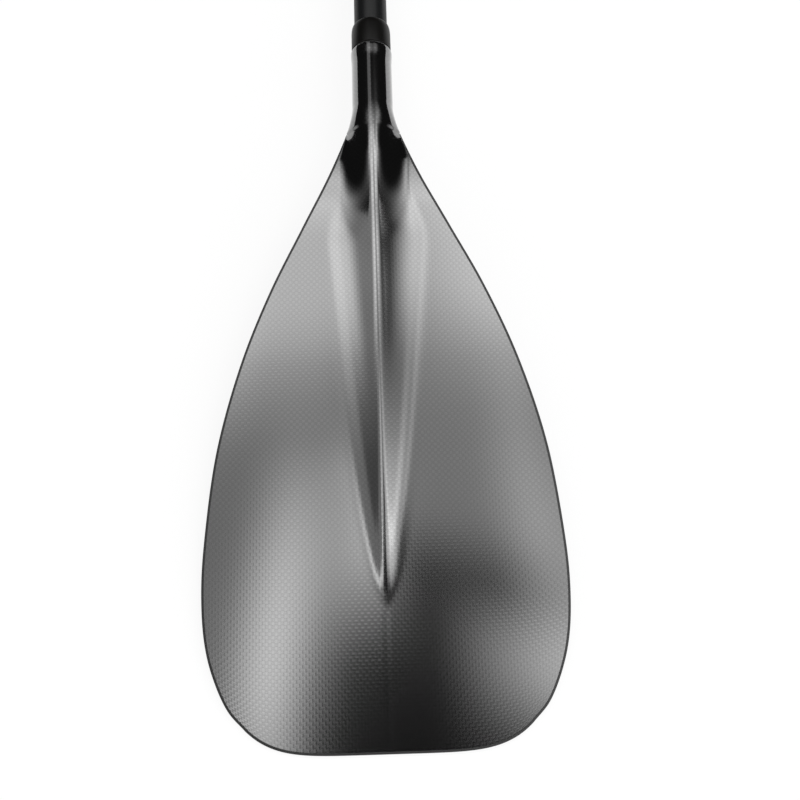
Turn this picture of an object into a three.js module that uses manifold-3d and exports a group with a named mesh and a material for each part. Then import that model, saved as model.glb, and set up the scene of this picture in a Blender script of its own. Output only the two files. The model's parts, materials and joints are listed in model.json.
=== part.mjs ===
// Adjustable stand-up paddleboard paddle, in millimetres.
// It is drawn upright: Z runs up the shaft, the mouth of the blade's neck is at Z = 0 and the
// power face looks towards -Y. At the end the paddle is laid down on its back, +Z up, as it
// rests on a floor: on the tip of its blade and on its grip.
import * as THREE from 'three';
import { mergeVertices } from 'three/addons/utils/BufferGeometryUtils.js';
import Module from 'manifold-3d';

const wasm = await Module();
wasm.setup();

// Clearances and cuts
const seatGap = 0.3; // between pieces that are bonded or seated
const slideFit = 0.3; // radial, between the two shaft tubes
const pinFit = 0.3; // radial, round the lever's pin and the bolt
const cutOverrun = 2; // how far a cut runs past the face that it opens
const weldTolerance = 0.001;

// Blade
const bladeWidth = 245;
const bladeLength = 456; // throat to tip, measured along the blade
const neckLength = 52; // straight tube above the throat
const neckDiameter = 30.6;
const lipFlare = 0.5; // how much the neck's radius grows at its mouth
const lipFlareLength = 12;
const skinThickness = 1.1;
const edgeThickness = 4.2;
const rimWidth = 1.6;
const rimRampLength = 26; // over which the rim grows to its width at the throat
const throatLength = 110; // over which the tube turns into the blade
const shoulderSpread = 12; // how much the throat widens until its wings lie flat
const shoulderHalf = 26; // half width of what is left of the tube between the wings
const ridgeHalfWidth = 47;
const ridgeHeight = 8; // above the wings, at the throat
const crestFlat = 0.7; // half width of the ridge's flat top
const crestBevel = 3; // half width of the flat and its two bevels
const crestBevelAngle = THREE.MathUtils.degToRad(10);
const wingCrown = 2; // how much higher the wings are at the middle than at the edges
const crownFadeLength = 190; // over which the crown flattens into the tip
const backBelly = 5; // fullness of the back between its edges
const backRidgeHalfWidth = 26;
const tipScoop = 8; // how far the tip curls towards the power face
const tipScoopLength = 260;
const tipFadeLength = 70; // over which the back's belly flattens into the tip
const tipBowLength = 180; // over which the rows straighten above the bowed tip
const bendStart = 74; // straight part of the neck's line, below its mouth
const bendLength = 60;
const rake = THREE.MathUtils.degToRad(10);

// Neck fittings
const linerLength = 56;
const collarLength = 23;
const collarStep = 0.3; // the collar is this much slimmer than the neck
const collarEdge = 0.6;
const collarShoulder = 6.5; // length over which the collar rounds over to the shaft
const collarLip = 0.7; // its wall at the top
const sealSection = 1.6; // thickness of the sealing ring between neck and collar

// Main shaft
const shaftDiameter = 25.4;
const shaftWall = 1.2;
const shaftReach = 790; // from the neck's mouth to the shaft's top
const shaftInsert = 52; // bonded inside the neck
const shaftSlitLength = 28;
const shaftSlitWidth = 1.6;
const plugLength = 22;

// Extension and its guides
const extensionWall = 1.5;
const extensionLength = 690;
const extensionOverlap = 360; // inside the main shaft when it is pushed in
const grooveDepth = 0.7;
const guideInsert = 16;
const guideFlange = 3;

// Clamp
const clampWall = 4.5;
const clampGripLength = 34; // the split part, round the main shaft
const clampLipLength = 12; // the closed lip, round the extension
const clampLipWall = 3.2;
const clampEdge = 1;
const earGap = 3;
const earThickness = 6.5;
const earReach = 17; // beyond the sleeve
const earHeight = 26;
const earCorner = 7;
const boltDiameter = 5;
const boltEyeDiameter = 9;
const boltEyeHeight = 6;
const boltTail = 2; // thread showing past the nut
const nutWidth = 8; // across its corners it is a little more
const nutThickness = 4;
const washerDiameter = 10;
const washerThickness = 1;
const padThickness = 1.2;
const padWidth = 12;
const keyWidth = 3;
const keyLength = 8;
const keySeat = 1.8; // how deep the key sits in the lip's wall
const screwDiameter = 3;
const screwHeadDiameter = 6.4;
const screwHeadDepth = 1.8;
const screwHeight = 7; // above the clamp's lower end

// Lever
const leverThickness = 4.5;
const leverWidth = 22;
const leverClearance = 0.9; // to the sleeve that it wraps
const camDiameter = 13;
const camThrow = 1; // how much the cam draws the bolt
const pinDiameter = 4;
const leverTipLength = 9; // the straight end that a finger lifts

// Grip
const gripWidth = 106;
const gripHeight = 34; // of the bar, along the shaft
const gripDepth = 29; // of the bar, across the shaft
const gripDroop = 6; // how far the ends of the bar hang
const gripStemLength = 56; // from the stem's mouth to the middle of the bar
const gripStemWall = 3;
const gripSocketDepth = 46;
const gripLand = 1.4; // depth of the flat that the grip rests on
const padSkin = 1.6;
const palmPadWidth = 74;
const palmPadDepth = 9; // how far the palm pad reaches down the bar
const gripPlugLength = 18;
const trimRingHeight = 4;
const trimRingWall = 2;

// Counts of facets
const roundSides = 32;
const smallSides = 16;
const sealSides = 6;
const shoulderSteps = 3;
const bladeRows = 23;
const gripStations = 14;
const gripSides = 20;
const stemStations = 7;
const nutSides = 6;
const leanHalvings = 24;

// Half width of the outline above the neck's radius, and distance from the tip, as shares of the
// greatest half width above it and of the blade's length, from the throat to the tip's corner.
const outlineShares = [
  [0.019, 0.974], [0.077, 0.932], [0.184, 0.870], [0.356, 0.788], [0.564, 0.689], [0.757, 0.575],
  [0.910, 0.443], [0.981, 0.318], [1, 0.235], [0.978, 0.162], [0.925, 0.113], [0.827, 0.064],
  [0.720, 0.0365],
];
const tipBowPower = 5.3; // how square the tip is
const rowEaseShare = 0.1; // draws the rows together at the throat and the tip
const flankColumnShares = [0.35, 0.7, 1]; // from the crest's bevel to the ridge's foot
const wingColumnShares = [0.2, 0.4, 0.6, 0.78, 0.91, 1]; // from the ridge's foot to the edge
const ridgeWidthShare = 0.7; // most of the half width that the ridge takes
const ridgeEndShare = 0.21; // of the blade's length, where the ridge has run out
const ridgeFadePower = 0.71;
const ridgeFootPower = 0.45; // how fast the ridge widens from its end
const crestBevelShare = 0.6; // most of the flank's slope that the bevel takes
const shoulderPower = 2; // how hollow the tube's sides run out into the wings
const ridgeRoofPower = 2; // how hollow the ridge's flanks are
const backRidgeEndShare = 0.36;
const backRidgeFadePower = 1.5;
const rimStartShare = 0.955; // of the blade's length
const rimRampShare = 0.3; // of the rim's width, where it starts
const coreStartShare = 0.87;
const rimSectionShares = [[0, 0.4], [0.35, 0.88], [1, 1]]; // inwards, and up to the skins

// Sizes that follow
const neckRadius = neckDiameter / 2;
const halfWidth = bladeWidth / 2;
const edgeHalf = edgeThickness / 2;
const shaftRadius = shaftDiameter / 2;
const shaftBore = shaftRadius - shaftWall;
const extensionRadius = shaftBore - slideFit;
const extensionBore = extensionRadius - extensionWall;
const paddleReach = neckLength + bladeLength;

// Tools

// Drops the seams of a geometry, so that it is one closed skin, and turns its faces outwards.
function closed(geometry) {
  const bare = geometry.clone();
  bare.deleteAttribute('normal');
  bare.deleteAttribute('uv');
  const welded = mergeVertices(bare, weldTolerance);
  const corner = [0, 1, 2].map(() => new THREE.Vector3());
  const kept = [];
  let volume = 0;
  const index = welded.index.array;
  for (let i = 0; i < index.length; i += corner.length) {
    const [a, b, c] = index.slice(i, i + corner.length);
    if (a === b || b === c || c === a) continue;
    kept.push([a, b, c]);
    corner.forEach((v, k) => v.fromBufferAttribute(welded.attributes.position, index[i + k]));
    volume += corner[0].dot(corner[1].cross(corner[2]));
  }
  const order = volume < 0 ? kept.map(([a, b, c]) => [a, c, b]) : kept;
  welded.setIndex(order.flat());
  return welded;
}

function toSolid(geometry) {
  const skin = closed(geometry);
  return new wasm.Manifold(new wasm.Mesh({
    numProp: 3,
    vertProperties: Float32Array.from(skin.attributes.position.array),
    triVerts: Uint32Array.from(skin.index.array),
  }));
}

function fromSolid(solid) {
  const { vertProperties, triVerts } = solid.getMesh();
  const geometry = new THREE.BufferGeometry();
  geometry.setAttribute('position', new THREE.BufferAttribute(vertProperties, 3));
  geometry.setIndex(new THREE.BufferAttribute(triVerts, 1));
  return geometry;
}

// The first geometry with others joined to it and others cut from it.
function carve(base, joined, cuts) {
  const whole = joined.reduce((solid, piece) => solid.add(toSolid(piece)), toSolid(base));
  return fromSolid(cuts.reduce((solid, cut) => solid.subtract(toSolid(cut)), whole));
}

// A profile of [radius, height] points, turned about Z.
function revolve(profile, sides = roundSides) {
  const points = profile.map(([radius, height]) => new THREE.Vector2(radius, height));
  const onAxis = points[0].x === 0 && points[points.length - 1].x === 0;
  if (!onAxis) points.push(points[0].clone());
  return closed(new THREE.LatheGeometry(points, sides).rotateX(Math.PI / 2));
}

function rod(radius, low, high, sides = roundSides) {
  return revolve([[0, low], [radius, low], [radius, high], [0, high]], sides);
}

function tube(bore, radius, low, high, sides = roundSides) {
  return revolve([[bore, low], [radius, low], [radius, high], [bore, high]], sides);
}

// A rod that lies along X at a height above the clamp's middle.
function crossRod(radius, from, to, sides = smallSides) {
  return rod(radius, from, to, sides).rotateY(Math.PI / 2);
}

function block(low, high) {
  const size = high.map((value, axis) => value - low[axis]);
  const middle = high.map((value, axis) => (value + low[axis]) / 2);
  return new THREE.BoxGeometry(...size).translate(...middle);
}

// A closed solid between two grids of points, the first outside and the second inside.
function betweenGrids(outer, inner) {
  const rows = outer.length;
  const columns = outer[0].length;
  const positions = [...outer.flat(), ...inner.flat()].flatMap((p) => [p.x, p.y, p.z]);
  const at = (layer, row, column) => (layer * rows + row) * columns + column;
  const index = [];
  const quad = (a, b, c, d) => index.push(a, b, c, a, c, d);
  for (let row = 0; row < rows - 1; row += 1) {
    for (let column = 0; column < columns - 1; column += 1) {
      quad(at(0, row, column), at(0, row, column + 1), at(0, row + 1, column + 1), at(0, row + 1, column));
      quad(at(1, row, column), at(1, row + 1, column), at(1, row + 1, column + 1), at(1, row, column + 1));
    }
    const last = columns - 1;
    quad(at(0, row, 0), at(0, row + 1, 0), at(1, row + 1, 0), at(1, row, 0));
    quad(at(0, row, last), at(1, row, last), at(1, row + 1, last), at(0, row + 1, last));
  }
  for (let column = 0; column < columns - 1; column += 1) {
    const last = rows - 1;
    quad(at(0, 0, column), at(1, 0, column), at(1, 0, column + 1), at(0, 0, column + 1));
    quad(at(0, last, column), at(0, last, column + 1), at(1, last, column + 1), at(1, last, column));
  }
  const geometry = new THREE.BufferGeometry();
  geometry.setAttribute('position', new THREE.Float32BufferAttribute(positions, 3));
  geometry.setIndex(index);
  return closed(geometry);
}

// A closed solid through a list of rings with the same number of points, capped at both ends.
function throughRings(rings) {
  const sides = rings[0].length;
  const positions = rings.flat();
  const index = [];
  for (let ring = 0; ring < rings.length - 1; ring += 1) {
    for (let side = 0; side < sides; side += 1) {
      const next = (side + 1) % sides;
      const [a, b] = [ring * sides + side, ring * sides + next];
      index.push(a, b, b + sides, a, b + sides, a + sides);
    }
  }
  const lastRing = (rings.length - 1) * sides;
  for (let side = 1; side < sides - 1; side += 1) {
    index.push(0, side + 1, side, lastRing, lastRing + side, lastRing + side + 1);
  }
  const geometry = new THREE.BufferGeometry();
  const flat = positions.flatMap((p) => [p.x, p.y, p.z]);
  geometry.setAttribute('position', new THREE.Float32BufferAttribute(flat, 3));
  geometry.setIndex(index);
  return closed(geometry);
}

const { clamp, lerp, smoothstep } = THREE.MathUtils;

// Blade: its centre line, outline and faces

// A point beside the blade's centre line: across it, at a distance below the neck's mouth, and
// at a height towards the power face. The line runs straight, then bends back by the rake.
function bladePoint(across, distance, height) {
  const bendRadius = bendLength / rake;
  const lean = clamp(distance - bendStart, 0, bendLength) / bendRadius;
  const straight = Math.min(distance, bendStart);
  const beyond = Math.max(distance - bendStart - bendLength, 0);
  const back = bendRadius * (1 - Math.cos(lean)) + beyond * Math.sin(lean);
  const down = straight + bendRadius * Math.sin(lean) + beyond * Math.cos(lean);
  return new THREE.Vector3(across, back - height * Math.cos(lean), -down - height * Math.sin(lean));
}

// The right-hand edge in the blade's own plane: X across, Y up from the tip.
function bladeOutline() {
  const neck = [paddleReach, bladeLength].map((up) => new THREE.Vector3(neckRadius, up, 0));
  const sides = outlineShares.map(([out, up]) => {
    const across = neckRadius + out * (halfWidth - neckRadius);
    return new THREE.Vector3(across, up * bladeLength, 0);
  });
  return new THREE.CatmullRomCurve3([...neck, ...sides], false, 'centripetal');
}

// The rows of the blade, from the neck's mouth to the tip: the place of the edge, the way
// inwards from it, and how far the row bows down towards the tip.
function bladeStations() {
  const outline = bladeOutline();
  const throat = neckLength / outline.getLength();
  const ease = (share) => share - rowEaseShare * Math.sin(2 * Math.PI * share);
  const shares = [0, throat / 4, throat / 2];
  for (let row = 0; row <= bladeRows; row += 1) {
    shares.push(lerp(throat, 1, ease(row / bladeRows)));
  }
  const corner = outline.getPointAt(1).y;
  return shares.map((share) => {
    const edge = outline.getPointAt(share);
    const along = outline.getTangentAt(share);
    const up = Math.min(edge.y, paddleReach);
    const bow = Math.max(1 - (up - corner) / tipBowLength, 0) ** 2;
    const flare = lipFlare * (1 - smoothstep(paddleReach - up, 0, lipFlareLength));
    const half = Math.max(edge.x, neckRadius) + flare;
    return { half, tube: neckRadius + flare, up, inward: [along.y, -along.x], bow, corner };
  });
}

const stations = bladeStations();
const rimStart = rimStartShare * bladeLength;

// How much of the section is blade and no longer tube, from 0 to 1.
const bladeShare = (up) => smoothstep(bladeLength - up, 0, throatLength);

function rimWidthAt(station) {
  const grown = clamp((rimStart - station.up) / rimRampLength, 0, 1);
  return rimWidth * lerp(rimRampShare, 1, grown);
}

// The edge of a row, moved inwards along the blade's face.
function edgeOf(station, inset) {
  const [x, y] = station.inward;
  return { half: station.half + x * inset, up: station.up + y * inset };
}

// How much of the ridge's height is left at a row, from 0 to 1.
function ridgeReach(station) {
  return clamp((station.up / bladeLength - ridgeEndShare) / (1 - ridgeEndShare), 0, 1);
}

function ridgeFoot(station) {
  const spread = ridgeHalfWidth * ridgeReach(station) ** ridgeFootPower;
  return Math.max(Math.min(spread, ridgeWidthShare * station.half), 2 * crestBevel);
}

// The power face and the back, as heights over the centre line's plane. The face has a ridge
// with hollow flanks, and the ridge has a flat top between two bevels.
function powerHeight(station, across) {
  const flatten = smoothstep(station.up - station.corner, 0, crownFadeLength);
  const rise = ridgeHeight * ridgeReach(station) ** ridgeFadePower;
  const foot = ridgeFoot(station);
  const slope = (out) => edgeHalf + wingCrown * flatten * (1 - out / station.half)
    + rise * clamp(1 - out / foot, 0, 1) ** ridgeRoofPower;
  const out = Math.abs(across);
  if (out > crestBevel) return slope(out);
  const fall = (slope(crestBevel) - slope(2 * crestBevel)) / crestBevel;
  const tilt = Math.min(Math.tan(crestBevelAngle), crestBevelShare * fall);
  return slope(crestBevel) + (crestBevel - Math.max(out, crestFlat)) * tilt;
}

function backHeight(station, across) {
  const flatten = smoothstep(station.up - station.corner, 0, tipFadeLength);
  const share = clamp((station.up / bladeLength - backRidgeEndShare) / (1 - backRidgeEndShare), 0, 1);
  const belly = edgeHalf + backBelly * flatten * (1 - clamp(Math.abs(across) / station.half, 0, 1) ** 2);
  const ridgeHalf = Math.min(backRidgeHalfWidth, station.half);
  const bump = (1 + Math.cos(Math.PI * clamp(across / ridgeHalf, -1, 1))) / 2;
  const extra = Math.max(neckRadius - belly, 0) * share ** backRidgeFadePower;
  return -(belly + extra * bump);
}

// The tube's height at a place across, from 0 to 1. On the power face the round tube turns into a
// soft ridge while the throat widens, so that flat wings come out from under its sides.
function tubeProfile(station, across, half, side) {
  const widened = side > 0 ? smoothstep(station.half - station.tube, 0, shoulderSpread) : 0;
  const shoulder = Math.min(lerp(half, shoulderHalf, widened), half);
  const roundness = lerp(1, 2 * shoulderPower, widened) / 2;
  return clamp(1 - (across / shoulder) ** 2, 0, 1) ** roundness;
}

function scoopAt(up) {
  return tipScoop * Math.max(1 - up / tipScoopLength, 0) ** 2;
}

// The columns of one row: over the crest, down the ridge's flank, then out over the wing.
const crestColumns = [0, crestFlat, crestBevel];
const columns = crestColumns.length + flankColumnShares.length + wingColumnShares.length - 1;

function columnAcross(station, column, edge) {
  if (column < crestColumns.length) return crestColumns[column];
  const foot = ridgeFoot(station);
  const beyond = column - crestColumns.length;
  if (beyond < flankColumnShares.length) return lerp(crestBevel, foot, flankColumnShares[beyond]);
  return lerp(foot, edge, wingColumnShares[beyond - flankColumnShares.length]);
}

// One point of a blade surface that lies some depth under the power face (side 1) or the back
// (side -1), and whose edge stands some way in from the outline.
function surfacePoint(station, column, side, depth, inset) {
  const blade = bladeShare(station.up);
  const edge = edgeOf(station, inset);
  const sign = Math.sign(column);
  const step = Math.abs(column);
  const tubeHalf = Math.min(edge.half, station.half - depth);
  const tubeAcross = tubeHalf * Math.sin((step / columns) * (Math.PI / 2));
  const across = lerp(tubeAcross, columnAcross(station, step, edge.half), blade);
  const half = lerp(tubeHalf, edge.half, blade);
  const share = Math.min(across / half, 1);
  const tubeHeight = Math.max((station.tube - depth) * tubeProfile(station, across, half, side), seatGap / 2);
  const face = side > 0 ? powerHeight(station, across) : -backHeight(station, across);
  const height = side * lerp(tubeHeight, face - depth, blade);
  const bowed = (edge.up - inset) * station.bow * (1 - share ** tipBowPower);
  const up = edge.up - bowed * (station.corner / station.up);
  return bladePoint(sign * across, paddleReach - up, height + scoopAt(up));
}

function surface(rows, side, depth, insetOf) {
  const across = Array.from({ length: 2 * columns + 1 }, (_, i) => i - columns);
  return rows.map((station) => across.map((column) => (
    surfacePoint(station, column, side, depth, insetOf(station)))));
}

const skinInset = (station) => (station.up > rimStart ? 0 : rimWidthAt(station) + seatGap);

// Blade pieces

const bladeSkin = (side) => betweenGrids(
  surface(stations, side, 0, skinInset),
  surface(stations, side, skinThickness, skinInset),
);

function bladeCore() {
  const rows = stations.filter((station) => station.up < coreStartShare * bladeLength);
  const depth = skinThickness + seatGap;
  return betweenGrids(surface(rows, 1, depth, skinInset), surface(rows, -1, depth, skinInset));
}

// The rim runs down one side of the blade, round the tip and up the other side.
function bladeEdge() {
  const rows = stations.filter((station) => station.up <= rimStart);
  const tip = rows[rows.length - 1];
  const inner = Array.from({ length: 2 * columns - 1 }, (_, i) => columns - 1 - i);
  const places = [
    ...rows.map((station) => [station, columns]),
    ...inner.map((column) => [tip, column]),
    ...[...rows].reverse().map((station) => [station, -columns]),
  ];
  return throughRings(places.map(([station, column]) => [1, -1].flatMap((side) => {
    const half = rimSectionShares.map(([inwards, rise]) => {
      const inset = inwards * rimWidthAt(station);
      const top = surfacePoint(station, column, 1, 0, inset);
      const bottom = surfacePoint(station, column, -1, 0, inset);
      return top.lerp(bottom, (1 - side * rise) / 2);
    });
    return side > 0 ? half : half.reverse();
  })));
}

// Neck fittings

function neckLiner() {
  const outside = neckRadius - skinThickness - seatGap;
  return tube(shaftRadius + seatGap, outside, -linerLength, 0);
}

const collarLow = 2 * seatGap + sealSection;
const collarRadius = neckRadius - collarStep;

function neckCollar() {
  const bore = shaftRadius + seatGap;
  const top = collarLow + collarLength;
  const fall = collarRadius - bore - collarLip;
  const shoulder = Array.from({ length: shoulderSteps + 1 }, (_, i) => {
    const angle = (i / shoulderSteps) * (Math.PI / 2);
    return [collarRadius - fall * (1 - Math.cos(angle)), top - collarShoulder * (1 - Math.sin(angle))];
  });
  return revolve([
    [bore, collarLow], [collarRadius - collarEdge, collarLow], [collarRadius, collarLow + collarEdge],
    ...shoulder, [bore, top],
  ]);
}

// The sealing ring lies between the neck's lip and the collar, and shows as a dark line.
function collarSeal() {
  const radius = sealSection / 2;
  const ring = collarRadius - radius;
  const profile = Array.from({ length: sealSides }, (_, i) => {
    const angle = (i / sealSides) * 2 * Math.PI;
    return [ring + radius * Math.cos(angle), seatGap + radius + radius * Math.sin(angle)];
  });
  return revolve(profile);
}

// Shaft and extension

function mainShaft() {
  const body = tube(shaftBore, shaftRadius, -shaftInsert, shaftReach);
  const half = shaftSlitWidth / 2;
  const reach = shaftRadius + cutOverrun;
  const foot = shaftReach - shaftSlitLength;
  const slit = block([-reach, -half, foot], [reach, half, shaftReach + cutOverrun]);
  const slitEnd = crossRod(half, -reach, reach).translate(0, 0, foot);
  return carve(body, [], [slit, slitEnd]);
}

function shaftPlug() {
  const radius = shaftBore - seatGap;
  return revolve([
    [0, -shaftInsert], [radius - collarEdge, -shaftInsert], [radius, collarEdge - shaftInsert],
    [radius, plugLength - shaftInsert - collarEdge], [radius - collarEdge, plugLength - shaftInsert],
    [0, plugLength - shaftInsert],
  ]);
}

const extensionLow = shaftReach - extensionOverlap;
const extensionHigh = extensionLow + extensionLength;
const grooveWidth = keyWidth + 2 * slideFit;

// The groove runs the whole back of the tube, so that the key holds the grip in line.
function extensionTube() {
  const body = tube(extensionBore, extensionRadius, extensionLow, extensionHigh);
  const half = grooveWidth / 2;
  const floor = extensionRadius - grooveDepth;
  const groove = block(
    [-half, floor, extensionLow - cutOverrun],
    [half, extensionRadius + cutOverrun, extensionHigh + cutOverrun],
  );
  return carve(body, [], [groove]);
}

function extensionGuide() {
  const insert = extensionBore - seatGap;
  const flange = extensionRadius;
  const seat = extensionLow - seatGap;
  return revolve([
    [0, seat - guideFlange], [flange - collarEdge, seat - guideFlange],
    [flange, seat - guideFlange + collarEdge], [flange, seat], [insert, seat],
    [insert, seat + guideInsert - collarEdge], [insert - collarEdge, seat + guideInsert],
    [0, seat + guideInsert],
  ]);
}

// Clamp: a sleeve that is split round the main shaft and closed round the extension

const clampRadius = shaftRadius + seatGap + clampWall;
const clampLow = shaftReach - clampGripLength + seatGap;
const clampShoulder = shaftReach + seatGap;
const clampHigh = clampShoulder + clampLipLength;
const clampMiddle = clampLow + clampGripLength / 2;
const lipBore = extensionRadius + slideFit;
const boltRadius = boltDiameter / 2;
const boltBack = -(clampRadius + earReach / 2); // the bolt's place along Y
const earSide = earGap / 2 + earThickness;

function earPair() {
  const low = clampMiddle - earHeight / 2;
  const high = clampMiddle + earHeight / 2;
  const tip = clampRadius + earReach;
  const shape = new THREE.Shape();
  shape.moveTo(0, low);
  shape.lineTo(tip - earCorner, low);
  shape.absarc(tip - earCorner, low + earCorner, earCorner, -Math.PI / 2, 0);
  shape.absarc(tip - earCorner, high - earCorner, earCorner, 0, Math.PI / 2);
  shape.lineTo(0, high);
  const plate = new THREE.ExtrudeGeometry(shape, {
    depth: 2 * earSide, bevelEnabled: false, curveSegments: smallSides / 2,
  });
  // The shape's X goes to -Y, its Y to Z, and its depth to X.
  return plate.applyMatrix4(new THREE.Matrix4().makeBasis(
    new THREE.Vector3(0, -1, 0), new THREE.Vector3(0, 0, 1), new THREE.Vector3(-1, 0, 0),
  )).translate(earSide, 0, 0);
}

function clampBody() {
  const lipRadius = lipBore + clampLipWall;
  const sleeve = revolve([
    [0, clampLow], [clampRadius - clampEdge, clampLow], [clampRadius, clampLow + clampEdge],
    [clampRadius, clampShoulder - clampEdge], [lipRadius, clampShoulder + clampEdge],
    [lipRadius, clampHigh - clampEdge], [lipRadius - clampEdge, clampHigh], [0, clampHigh],
  ]);
  const far = clampRadius + earReach + cutOverrun;
  const half = earGap / 2;
  const split = block([-half, -far, clampLow - cutOverrun], [half, 0, clampShoulder]);
  const shaftHole = rod(shaftRadius + seatGap, clampLow - cutOverrun, clampShoulder);
  const extensionHole = rod(lipBore, clampLow, clampHigh + cutOverrun);
  const boltHole = crossRod(boltRadius + pinFit, -far, far).translate(0, boltBack, clampMiddle);
  return carve(sleeve, [earPair()], [split, shaftHole, extensionHole, boltHole, keyPocket(), screwHole()]);
}

const keyLow = clampShoulder + (clampLipLength - keyLength) / 2;

function keyPocket() {
  const half = keyWidth / 2 + seatGap;
  const deep = lipBore + keySeat + seatGap;
  return block([-half, 0, keyLow - seatGap], [half, deep, keyLow + keyLength + seatGap]);
}

function antiTwistKey() {
  const half = keyWidth / 2;
  const inside = extensionRadius - grooveDepth + slideFit;
  return block([-half, inside, keyLow], [half, lipBore + keySeat, keyLow + keyLength]);
}

// A countersunk screw through the back of the sleeve and the shaft's wall, drawn along Z.
function screwShape(clearance, tip, overrun) {
  const head = screwHeadDiameter / 2 + clearance;
  const shank = screwDiameter / 2 + clearance;
  const top = clampRadius - collarEdge + clearance;
  return revolve([
    [0, tip], [shank, tip], [shank, top - screwHeadDepth],
    [head, top], [head, top + overrun], [0, top + overrun],
  ], smallSides).rotateX(-Math.PI / 2).translate(0, 0, clampLow + screwHeight);
}

const screwHole = () => screwShape(seatGap, 0, cutOverrun);

function clampScrew() {
  const slot = screwDiameter / 2;
  const top = clampRadius - collarEdge;
  const depth = screwHeadDepth / 2;
  const body = screwShape(0, shaftRadius + seatGap, collarEdge / 2);
  const drive = rod(slot, top - depth, top + cutOverrun, nutSides).rotateX(-Math.PI / 2);
  return carve(body, [], [drive.translate(0, 0, clampLow + screwHeight)]);
}

// Lever: a cam whose arm wraps the sleeve. It is drawn flat in XY and raised along Z.

const camRadius = camDiameter / 2;
const padOuter = -(earSide + seatGap + padThickness);
const camCentre = new THREE.Vector2(padOuter - seatGap - camRadius, boltBack);
const pinPlace = new THREE.Vector2(camCentre.x - camThrow, boltBack);
const armInner = clampRadius + leverClearance;
const armOuter = armInner + leverThickness;
const armStartAngle = THREE.MathUtils.degToRad(218);
const armEndAngle = THREE.MathUtils.degToRad(140);
const armBackAngle = THREE.MathUtils.degToRad(196);
const camEndAngle = THREE.MathUtils.degToRad(20);

function leverOutline() {
  const shape = new THREE.Shape();
  shape.moveTo(camCentre.x - camRadius, camCentre.y);
  shape.absarc(camCentre.x, camCentre.y, camRadius, Math.PI, 2 * Math.PI + camEndAngle);
  shape.absarc(0, 0, armInner, armStartAngle, armEndAngle, true);
  const outwards = new THREE.Vector2(Math.cos(armEndAngle), Math.sin(armEndAngle));
  const onwards = new THREE.Vector2(outwards.y, -outwards.x);
  const half = leverThickness / 2;
  const tip = outwards.clone().multiplyScalar(armInner + half).addScaledVector(onwards, leverTipLength);
  shape.absarc(tip.x, tip.y, half, armEndAngle - Math.PI, armEndAngle);
  shape.absarc(0, 0, armOuter, armEndAngle, armBackAngle);
  return shape;
}

function clampLever() {
  const body = new THREE.ExtrudeGeometry(leverOutline(), {
    depth: leverWidth, bevelEnabled: false, curveSegments: smallSides,
  }).translate(0, 0, -leverWidth / 2);
  const slotHalf = boltEyeHeight / 2 + pinFit;
  const slot = rod(camRadius + camThrow, -slotHalf, slotHalf).translate(camCentre.x, camCentre.y, 0);
  const hole = rod(pinDiameter / 2 + pinFit, -leverWidth, leverWidth, smallSides);
  const raised = carve(body, [], [slot, hole.translate(pinPlace.x, pinPlace.y, 0)]);
  return raised.translate(0, 0, clampMiddle);
}

function leverPin() {
  const half = leverWidth / 2;
  const pin = rod(pinDiameter / 2, clampMiddle - half, clampMiddle + half, smallSides);
  return pin.translate(pinPlace.x, pinPlace.y, 0);
}

const washerPlace = earSide + seatGap;
const nutPlace = washerPlace + washerThickness + seatGap;

function clampBolt() {
  const half = boltEyeHeight / 2;
  const eye = rod(boltEyeDiameter / 2, -half, half).translate(pinPlace.x, pinPlace.y, 0);
  const end = nutPlace + nutThickness + boltTail;
  const shank = crossRod(boltRadius, pinPlace.x, end).translate(0, boltBack, 0);
  const hole = rod(pinDiameter / 2 + pinFit, -boltEyeHeight, boltEyeHeight, smallSides);
  return carve(eye, [shank], [hole.translate(pinPlace.x, pinPlace.y, 0)]).translate(0, 0, clampMiddle);
}

function acrossTube(bore, radius, from, to, sides) {
  const body = rod(radius, from, to, sides).rotateY(Math.PI / 2);
  const hole = crossRod(bore, from - cutOverrun, to + cutOverrun);
  return carve(body, [], [hole]).translate(0, boltBack, clampMiddle);
}

function clampNut() {
  const corner = nutWidth / 2 / Math.cos(Math.PI / nutSides);
  return acrossTube(boltRadius + pinFit, corner, nutPlace, nutPlace + nutThickness, nutSides);
}

const clampWasher = () => acrossTube(
  boltRadius + pinFit, washerDiameter / 2, washerPlace, washerPlace + washerThickness, roundSides,
);

function camPad() {
  const half = padWidth / 2;
  const rise = leverWidth / 2;
  const plate = block([padOuter, -half, -rise], [padOuter + padThickness, half, rise]);
  const hole = crossRod(boltRadius + pinFit, padOuter - cutOverrun, 0);
  return carve(plate, [], [hole]).translate(0, boltBack, clampMiddle);
}

// Grip: a bar across the shaft on a stem with a socket

const gripMouth = extensionHigh - gripSocketDepth + seatGap;
const gripMiddle = gripMouth + gripStemLength;
const socketRadius = extensionRadius + seatGap;
const stemRadius = socketRadius + gripStemWall;
const gripEndPower = 5;
const gripRoundPower = 0.42;
const gripTaperShare = 0.14; // how much thinner the bar is towards its ends
const gripEndShare = 0.95; // how near the last ring lies to the bar's end
const gripCrownShare = 0.86; // the bar's upper half is lower than its lower half
const stemWidthShare = 0.56; // of the bar, where the stem runs out in it
const stemDepthShare = 0.93;
const stemFlarePower = 2.6;

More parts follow.
